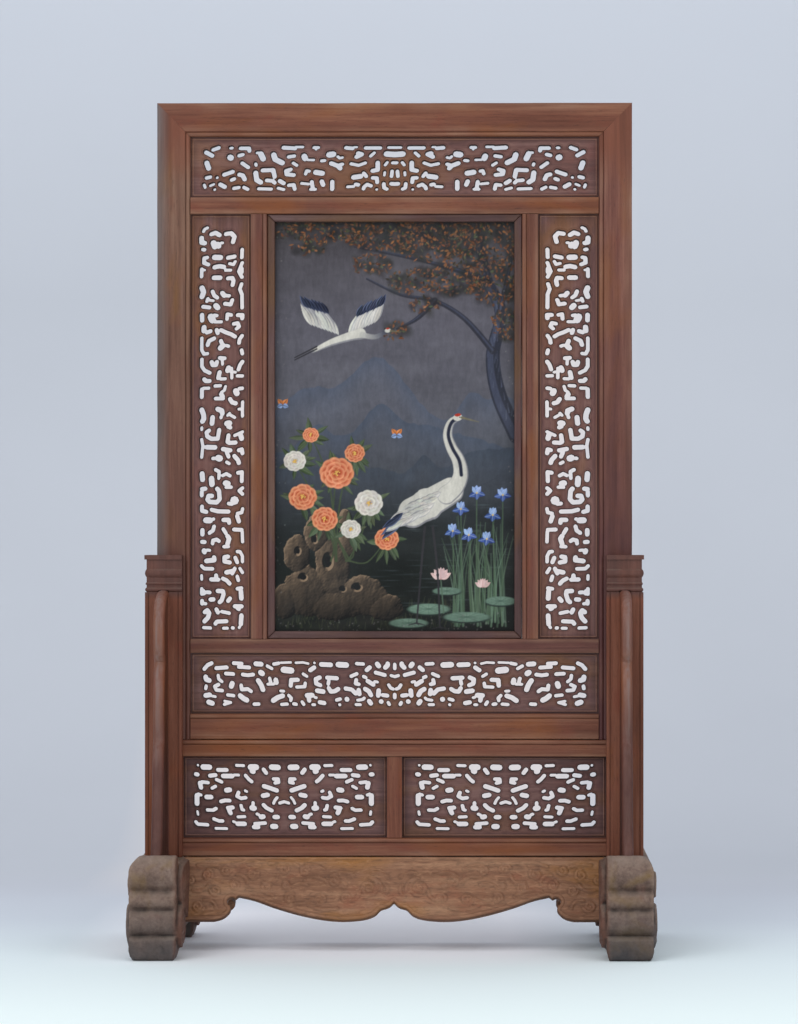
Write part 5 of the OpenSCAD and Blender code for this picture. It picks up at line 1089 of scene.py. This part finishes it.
masses = [(88, 388, 44, 26), (40, 392, 42, 22), (-8, 398, 44, 17), (-62, 402, 46, 13), (-104, 404, 24, 12),
          (100, 350, 26, 24), (58, 352, 30, 15), (18, 350, 24, 12), (-24, 366, 20, 10), (0, 300, 13, 9),
          (112, 306, 16, 15), (30, 326, 15, 8), (-86, 384, 18, 8)]
for x, z, w, h in masses:
    for _ in range(int(w * h / 15)):
        a, q = pick(0, 2 * math.pi), math.sqrt(pick(0, 1))
        pic.dab(x + w * q * math.cos(a), P0 + z + h * q * math.sin(a), pick(6, 11), pick(4, 7), pick(0, 180),
                shade((44, 42, 42), 8), 0.6, 0.9)
for x, z, w, h in masses:
    for _ in range(int(w * h / 3.2)):
        a, q = pick(0, 2 * math.pi), math.sqrt(pick(0, 1.15))
        c = LEAVES[int(pick(0, 3.99 if q > 0.7 else 6.99))]
        pic.dab(x + w * q * math.cos(a), P0 + z + h * q * math.sin(a), pick(1.6, 3.2), pick(0.9, 1.6),
                pick(0, 180), shade(c, 16), pick(0.5, 0.95), 0.5)

# Garden rock: rounded lumps with a broken surface, lit from the upper left
LUMPS = ((-88, 40, 24, 26), (-62, 62, 19, 34), (-98, 76, 13, 20), (-34, 36, 27, 20), (-78, 98, 13, 18),
         (-46, 90, 11, 17), (-10, 24, 19, 13), (-110, 30, 14, 18), (-60, 26, 30, 16), (-50, 112, 7, 10))
HOLES = ((-67, 70, 5, 8), (-92, 54, 4.5, 4), (-38, 44, 5, 4), (-80, 92, 3, 4.5), (-52, 42, 3.5, 3),
         (-97, 80, 3, 4))
js, iz, X, Z = pic.window(-132, 16, P0 - 4, P0 + 130)
broken = 0.16 * pic.cloudy(9, 51) + 0.10 * pic.cloudy((3.5, 6), 52) + 0.05 * pic.cloudy(1.6, 53)
mass = np.full((Z.shape[0], X.shape[1]), -9.0)
for x, z, w, h in LUMPS:
    mass = np.maximum(mass, 1 - ((X - x) / w) ** 2 - ((Z - P0 - z) / h) ** 2)
for x, z, w, h in HOLES:
    mass = np.minimum(mass, ((X - x) / w) ** 2 + ((Z - P0 - z) / h) ** 2 - 1 + 0.4)
mass = mass + broken[js, iz]
slope_z, slope_x = np.gradient(np.sqrt(np.clip(mass, 0.0, None)), PIC_STEP)
light = np.clip(0.42 + 3.2 * (slope_x * 0.9 - slope_z * 0.8) + 0.25 * broken[js, iz], 0, 1)[..., None]
rock = (28, 27, 27) + light * (np.array((138, 114, 92)) - (28, 27, 27)) + 22 * np.clip(light - 0.7, 0, 1)
fog = 0.55 + 0.45 * np.clip((Z - P0) / 50, 0, 1)
pic.lay(js, iz, np.clip(mass * 14, 0, 1), rock * fog[..., None])
for x, z, w, h in HOLES:
    pic.dab(x, P0 + z, w * 0.8, h * 0.8, 10, (24, 24, 26), 0.95, 0.35)

# Peonies on the rock: stems, leaves, then blossoms of ringed petals
blooms = [(-58, 158, 17, "red"), (-92, 134, 14, "red"), (-26, 128, 14, "pale"), (-70, 112, 13, "red"),
          (-40, 178, 10, "red"), (-100, 170, 11, "pale"), (-8, 92, 12, "red"), (-84, 196, 8, "red"),
          (-44, 102, 10, "pale")]
for x, z, r, _ in blooms:
    root = (-58 + pick(-14, 14), P0 + 70)
    pic.line([root, ((x + root[0]) / 2 + pick(-8, 8), P0 + z * 0.75), (x, P0 + z)], (1.8, 1.0), (66, 78, 54))
for x, z, r, _ in blooms:
    for _ in range(11):
        a = pick(0, 360)
        q = math.radians(a)
        pic.leaf(x + r * 0.5 * math.cos(q), P0 + z + r * 0.5 * math.sin(q) - 2, pick(11, 19), pick(4, 6.5),
                 a + pick(-25, 25), shade((70, 82, 60), 14), (112, 122, 92))
PETALS = {"red": ((126, 44, 32), (186, 84, 54), (226, 146, 106)),
          "pale": ((138, 116, 110), (188, 177, 167), (216, 208, 198))}
for x, z, r, kind in blooms:
    deep, middle, rim = PETALS[kind]
    z += P0
    pic.dab(x, z, r * 1.0, r * 0.9, 0, deep, 1.0, 0.1)
    for ring, n in ((0.70, 10), (0.46, 8), (0.24, 5)):
        for k in range(n):
            a = 2 * math.pi * (k + pick(-0.15, 0.15)) / n + ring * 7
            px, pz = x + r * ring * math.cos(a), z + r * ring * 0.88 * math.sin(a)
            w = r * (0.20 + 0.20 * ring)
            turn = math.degrees(a)
            pic.dab(px, pz, w * 1.05, w * 1.2, turn, shade(rim, 8), 0.95, 0.16)
            pic.dab(px - w * 0.28 * math.cos(a), pz - w * 0.28 * math.sin(a), w * 0.95, w * 1.05, turn,
                    shade(middle, 8), 0.9, 0.45)
            pic.dab(px - w * 0.62 * math.cos(a), pz - w * 0.62 * math.sin(a), w * 0.6, w * 0.7, turn, deep,
                    0.8, 0.7)
    for _ in range(16):
        a, q = pick(0, 2 * math.pi), pick(0, 0.2) * r
        pic.dab(x + q * math.cos(a), z + q * math.sin(a), 0.9, 0.9, 0, (226, 178, 88), 0.95, 0.6)

# Irises by the water
for _ in range(46):
    x = pick(58, 112)
    pic.line([(x, P0 + pick(4, 16)), (x + pick(-4, 4), P0 + pick(40, 60)),
              (x + pick(-14, 14), P0 + pick(72, 118))], (2.2, 0.5), shade((84, 104, 84), 18), 0.85)
for x, z in ((66, 122), (82, 138), (98, 116), (108, 136), (74, 96), (92, 92), (58, 100)):
    z += P0
    pic.line([(x, z), (x + pick(-3, 3), P0 + 20)], (1.0, 1.2), (78, 98, 76))
    for turn, length in ((200, 9), (340, 9), (90, 8), (120, 8), (60, 8), (270, 7)):
        pic.leaf(x, z, length, 5.2, turn + pick(-12, 12),
                 shade((58, 80, 142) if turn > 150 else (140, 164, 208), 12), (206, 216, 232))
    pic.dab(x, z, 1.2, 1.2, 0, (226, 186, 96), 0.95, 0.5)

# Lotus leaves on the water
for x, z, w, h in ((34, 22, 24, 6.5), (72, 14, 26, 6), (106, 30, 18, 5.5), (14, 8, 22, 5.5),
                   (52, 40, 16, 4.5)):
    z += P0
    pic.dab(x, z - 1, w, h, 0, (38, 48, 44), 0.9, 0.2)
    pic.dab(x, z, w * 0.96, h * 0.92, 0, (104, 128, 112), 0.95, 0.18)
    pic.dab(x, z + 0.6, w * 0.8, h * 0.7, 0, (128, 150, 132), 0.6, 0.9)
    for k in range(12):
        a = 2 * math.pi * k / 12
        pic.line([(x, z), (x + w * 0.86 * math.cos(a), z + h * 0.82 * math.sin(a))], (0.8, 0.4),
                 (74, 96, 84), 0.6)
for x, z, r in ((46, 52, 8), (88, 44, 6)):
    pic.line([(x, P0 + z), (x + 3, P0 + 18)], (1.2, 1.2), (84, 104, 86))
    for turn in (30, 150, 55, 125, 75, 105, 90):
        pic.leaf(x, P0 + z, r * 1.5, r * 0.75, turn, shade((222, 190, 186), 8), (190, 130, 128))


def feathers(points, length, width, turn, colour, edge):
    for x, z in points:
        pic.leaf(x, z, length, width * 1.25, turn + pick(-6, 6), edge)
        pic.leaf(x, z, length * 0.94, width, turn + pick(-3, 3), shade(colour, 6), edge)


# A crane standing in the water
WHITE, GREY, NAVY = (204, 199, 189), (136, 134, 138), (32, 36, 54)
LEG = (50, 48, 52)
for leg in ([(30, 104), (26, 58), (22, 8)], [(38, 104), (43, 56), (45, 4)]):
    hip, knee, foot = raised(leg)
    pic.line([hip, knee, foot], (2.4, 1.5), LEG)
    pic.dab(*knee, 1.7, 2.2, 0, LEG, 1, 0.3)
    for dx in (-8, 2, 8):
        pic.line([foot, (foot[0] + dx, foot[1] - 2)], (1.3, 0.6), LEG)
feathers([(14 - k * 1.0, P0 + 124 - k * 2.0) for k in range(7)], 30, 6.0, 222, NAVY, (78, 88, 118))
body = raised([(6, 112), (18, 118), (32, 126), (46, 134), (56, 140)])
pic.line(body[:3], (14, 33), GREY)
pic.line(body[1:], (30, 26), GREY)
pic.line([(x, z + 1.2) for x, z in body[:3]], (12.5, 31), WHITE)
pic.line([(x, z + 1.2) for x, z in body[1:]], (28.5, 24.5), WHITE)
neck = raised([(52, 136), (61, 144), (66, 156), (64, 170), (57, 183), (53, 196), (56, 208), (63, 213)])
pic.line(neck, (19, 5.6), GREY)
pic.line([(x - 0.5, z + 0.3) for x, z in neck], (17.5, 4.4), WHITE)
pic.line([(x + 0.6, z) for x, z in neck[2:]], (3.4, 3.4), NAVY, 0.92)
for row, n, length in ((0, 6, 15), (1, 7, 17), (2, 7, 19), (3, 6, 21)):
    feathers([(46 - k * 5.6 - row * 3.2, P0 + 139 - k * 2.5 - row * 5.4) for k in range(n)], length, 5.4,
             209, WHITE, (160, 158, 160))
feathers([(8 - k * 1.6, P0 + 118 - k * 1.7) for k in range(4)], 19, 5.0, 216, NAVY, (78, 88, 118))
pic.dab(63, P0 + 213.4, 5.0, 3.6, 8, WHITE, 1, 0.14)
pic.dab(63, P0 + 216, 3.6, 1.7, 8, (172, 52, 38), 1, 0.2)
pic.line(raised([(67, 213.4), (84, 209)]), (2.4, 0.6), (118, 110, 88))
pic.dab(65, P0 + 213.8, 0.8, 0.8, 0, (20, 20, 24), 1, 0.5)

# A crane in flight
fx, fz = -52, P0 + 292
for x, z, dx, dz, n, length, width, turn, tip in (
        (-4, 4, -3.4, 1.2, 9, 25, 5, 118, False), (-14, 25, -3.5, 1.0, 7, 15, 4.2, 122, True),
        (6, 4, 3.2, 1.5, 9, 23, 4.8, 66, False), (14, 22, 3.3, 1.5, 8, 14, 4, 64, True)):
    feathers([(fx + x + k * dx, fz + z + k * dz) for k in range(n)], length, width, turn,
             *((NAVY, (80, 88, 116)) if tip else (WHITE, (160, 158, 162))))
for points, widths, colour, tail in (
        (((-30, -12), (-12, -4), (6, 2), (18, 5)), (4, 11), GREY, None),
        (((-28, -11), (-12, -3), (6, 3), (18, 6)), (3, 9.5), WHITE, None),
        (((16, 5), (32, 2), (44, 8)), (6, 3.6), WHITE, (60, 62, 78))):
    pic.line([(fx + x, fz + z) for x, z in points], widths, colour, end_colour=tail)
pic.dab(fx + 45, fz + 8.5, 3.6, 2.6, 10, WHITE, 1, 0.3)
pic.dab(fx + 45, fz + 10.4, 2.2, 1.1, 10, (176, 52, 38), 1, 0.4)
pic.line([(fx + 48, fz + 8), (fx + 58, fz + 7)], (1.8, 0.5), (112, 104, 84))
for dz in (0, 2.4):
    pic.line([(fx - 26, fz - 10 + dz), (fx - 48, fz - 21 + dz)], (1.4, 0.9), (44, 42, 46))

# Two butterflies
for x, z in ((2, 196), (-112, 226)):
    for turn, length, c in ((50, 8, (214, 128, 70)), (130, 8, (214, 128, 70)), (-20, 6, (140, 164, 208)),
                            (200, 6, (140, 164, 208))):
        pic.leaf(x, P0 + z, length, 5, turn, c, (50, 40, 40))

# Colour darker towards the edges, and age: uneven varnish and small losses near the edges
edge = np.minimum(np.minimum(pic.xs[None, :] + BEAD_IN, BEAD_IN - pic.xs[None, :]),
                  np.minimum(pic.zs[:, None] - P0, P1 - pic.zs[:, None]))
pic.rgb *= (1 - 0.16 * np.exp(-np.clip(edge, 0, None) / 9))[..., None]
uneven = 0.035 * pic.cloudy(22, 31) + 0.02 * pic.cloudy((2.5, 7), 32) + 0.02 * pic.cloudy(1.2, 33)
pic.rgb *= (0.97 + uneven)[..., None]
for _ in range(130):
    side = pick(0, 1)
    x = pick(-BEAD_IN, BEAD_IN) if side < 0.5 else math.copysign(BEAD_IN - abs(rand.gauss(0, 5)), pick(-1, 1))
    z = pick(P0, P1) if side >= 0.5 else (P0 + abs(rand.gauss(0, 6)))
    pic.dab(x, z, pick(0.5, 1.6), pick(0.5, 1.4), pick(0, 180), shade((112, 108, 106), 20), 0.5, 0.7)


def picture_sheet():
    """The glass with the painting: a slab whose face is a fine mesh that carries the colours."""
    front, back = glass_lo[1], glass_hi[1]
    nx, nz = len(pic.xs), len(pic.zs)
    xs, zs = pic.xs.copy(), pic.zs.copy()
    xs[0], xs[-1], zs[0], zs[-1] = glass_lo[0], glass_hi[0], glass_lo[2], glass_hi[2]
    gx, gz = np.meshgrid(xs, zs)
    verts = np.stack((gx.ravel(), np.full(gx.size, front), gz.ravel()), 1)
    k = np.arange(nx * nz).reshape(nz, nx)
    faces = np.stack((k[:-1, :-1], k[:-1, 1:], k[1:, 1:], k[1:, :-1]), -1).reshape(-1, 4).tolist()
    rim = [*k[0, :], *k[1:, -1], *k[-1, -2::-1], *k[-2:0:-1, 0]]
    n, m = nx * nz, len(rim)
    verts = np.concatenate((verts, verts[rim] + (0, back - front, 0)))
    faces += [(rim[(i + 1) % m], rim[i], n + i, n + (i + 1) % m) for i in range(m)]
    faces.append(tuple(range(n + m - 1, n - 1, -1)))
    rgb = np.clip(pic.rgb, 0, 255).reshape(-1, 3) / 255
    rgb = np.where(rgb <= 0.04045, rgb / 12.92, ((rgb + 0.055) / 1.055) ** 2.4)
    rgb = np.concatenate((rgb, rgb[rim] * 0.5))
    colours = np.concatenate((rgb, np.ones((len(rgb), 1))), 1)
    mat, nt, shader = node_tree("picture_glass")
    coord, paint = object_coord(nt), attribute(nt, "paint", "Color")
    film = grain_noise(nt, coord, "z", 90, 240, 4, 71.0, 0.3, 0.6)
    haze = grain_noise(nt, coord, "x", 9, 14, 4, 72.0, 0.4)
    crackle = grain_noise(nt, coord, "z", 900, 1300, 2, 73.0)
    colour = mix(nt, spread(nt, film, 0.35, 0.65, 0.06, 0.22), paint, linear((14, 14, 16)))
    colour = mix(nt, spread(nt, haze, 0.45, 0.75, 0.0, 0.03), colour, linear((150, 148, 150)))
    colour = mix(nt, spread(nt, crackle, 0.66, 0.76, 0.0, 0.2), colour, linear((90, 88, 88)))
    nt.links.new(colour, shader.inputs["Base Color"])
    nt.links.new(spread(nt, haze, 0.3, 0.7, 0.26, 0.4), shader.inputs["Roughness"])
    bump = add(nt, "ShaderNodeBump", Height=film, Strength=0.12, Distance=0.0004)
    nt.links.new(bump.outputs[0], shader.inputs["Normal"])
    shader.inputs["Specular IOR Level"].default_value = 0.08
    make("picture_glass_sheet", verts, faces, "insert", mat, "painted_glass",
         colours=colours)


picture_sheet()

# Glazing beads, and the back of the picture
for k, side in enumerate(("top", "bottom", "left", "right")):
    axis = "x" if side in ("top", "bottom") else "z"
    softened(side + "_glazing_bead", "_strip", wood_for("bead", axis, 50.0 + k), "insert", 1.3,
             3)
    softened(side + "_batten", "_strip", wood_for("pale", axis, 54.0 + k), "insert", 0.6)
softened("backing_board", "_panel", wood_for("pale", "z", 59.0), "insert", 0.5)

# Pegs and pins keep the solids' own shape
bamboo = wood("bamboo_pegs", (122, 98, 66), (156, 128, 90), (182, 156, 116), "y", 61.0, 0.55)
brass, nt, shader = node_tree("aged_brass")
spots = grain_noise(nt, object_coord(nt), "x", 700, 700, 4, 2.0)
nt.links.new(ramp(nt, spots, [(0.35, linear((96, 72, 38))), (0.6, linear((176, 142, 78)))]),
             shader.inputs["Base Color"])
nt.links.new(spread(nt, spots, 0.3, 0.7, 0.55, 0.3), shader.inputs["Roughness"])
shader.inputs["Metallic"].default_value = 1.0
for node, mat in (("stand_pegs", bamboo), ("frame_pegs", bamboo), ("batten_pins", brass)):
    give(nodes[node].data, mat)

# The studio: paper on the floor that sweeps up behind, lamps and a pale sky. Lengths here are in metres.
PAPER_HALF, PAPER_FLAT, PAPER_BEND, PAPER_TOP = 6.0, 0.9, 1.4, 5.0
stage_mat, nt, shader = node_tree("studio_paper")
coord = object_coord(nt)
across, depth, rise = add(nt, "ShaderNodeSeparateXYZ", i0=coord).outputs
wall = ramp(nt, grain_noise(nt, coord, "x", 1.2, 1.2, 3, 3.0),
            [(0.3, linear((199, 203, 211))), (0.7, linear((204, 208, 216)))])
# The paper is painted paler higher up the wall and towards the front of the floor: painted light
wall = mix(nt, spread(nt, rise, 0.8, 1.6), wall, linear((216, 220, 229)))
floor = ramp(nt, spread(nt, depth, -0.5, 0.6),
             [(0.0, linear((238, 250, 250))), (0.4, linear((226, 237, 241))),
              (0.68, linear((212, 219, 228))), (1.0, linear((204, 208, 218)))])
aside = math_node(nt, "ABSOLUTE", math_node(nt, "ADD", across, 0.055))
# Painted light: a paler patch straight behind the screen, and one that lightens the shadow under its apron
narrow = math_node(nt, "MULTIPLY_ADD", spread(nt, depth, 0.9, 2.3), -0.065, aside)
painted_light_behind = times(nt, spread(nt, narrow, 0.335, 0.21), spread(nt, rise, 1.10, 0.92))
wall = mix(nt, painted_light_behind, wall, linear((232, 225, 224)))
under = times(nt, spread(nt, aside, 0.28, 0.17), spread(nt, depth, -0.17, -0.04))
under = times(nt, under, spread(nt, depth, 0.5, 0.3))
floor = mix(nt, times(nt, under, 0.9), floor, linear((248, 248, 254)))
nt.links.new(mix(nt, spread(nt, depth, 0.45, 0.75), floor, wall), shader.inputs["Base Color"])
shader.inputs["Roughness"].default_value = 0.9
shader.inputs["Specular IOR Level"].default_value = 0.1

bend = [math.radians(a) for a in range(6, 91, 6)]
sweep_line = [(-PAPER_HALF, 0.0), (-PAPER_HALF / 2, 0.0), (PAPER_FLAT, 0.0)]
sweep_line += [(PAPER_FLAT + PAPER_BEND * math.sin(a), PAPER_BEND - PAPER_BEND * math.cos(a)) for a in bend]
sweep_line.append((PAPER_FLAT + PAPER_BEND, PAPER_TOP))
paper_mesh = bpy.data.meshes.new("studio_sweep")
paper_mesh.from_pydata([(x, y, z) for y, z in sweep_line for x in (-PAPER_HALF, PAPER_HALF)], [],
                       [(2 * i, 2 * i + 1, 2 * i + 3, 2 * i + 2) for i in range(len(sweep_line) - 1)])
paper_mesh.shade_smooth()
paper_mesh.materials.append(stage_mat)
paper = in_scene("studio_sweep", paper_mesh)


def lamp(name, place, aim, size, power):
    data = bpy.data.lights.new(name, "AREA")
    data.shape = "RECTANGLE"
    data.size, data.size_y = size
    data.energy = power
    o = in_scene(name, data)
    o.location = place
    o.rotation_euler = (Vector(aim) - Vector(place)).to_track_quat("-Z", "Y").to_euler()


lamp("key_light", (-1.7, -2.9, 2.3), (0, 0, 0.45), (2.2, 1.8), 42)
lamp("fill_light", (2.4, -2.8, 1.6), (0, 0, 0.4), (2.0, 2.0), 18)
lamp("top_light", (0, -0.3, 3.0), (0, 0.2, 0), (3.0, 2.4), 14)
lamp("low_light", (0.3, -3.0, 0.45), (0, 0, 0.05), (2.4, 0.6), 9)

world = bpy.data.worlds.new("studio")
bpy.context.scene.world = world
world.use_nodes = True
sky = world.node_tree.nodes["Background"]
sky.inputs[0].default_value = (0.93, 0.96, 1.0, 1)
sky.inputs[1].default_value = 0.72

# Camera, from the photograph's perspective
cam_data = bpy.data.cameras.new("camera")
cam_data.lens = 118.3
cam_data.sensor_width = 36
cam_data.shift_x = -0.0706
cam_data.shift_y = 0.0283
cam_data.clip_end = 50
cam = in_scene("camera", cam_data)
cam.location = (0.100, -3.366, 0.406)
cam.rotation_euler = (math.radians(90), 0, math.radians(0.4))
bpy.context.scene.camera = cam

bpy.context.scene.view_settings.view_transform = "Standard"
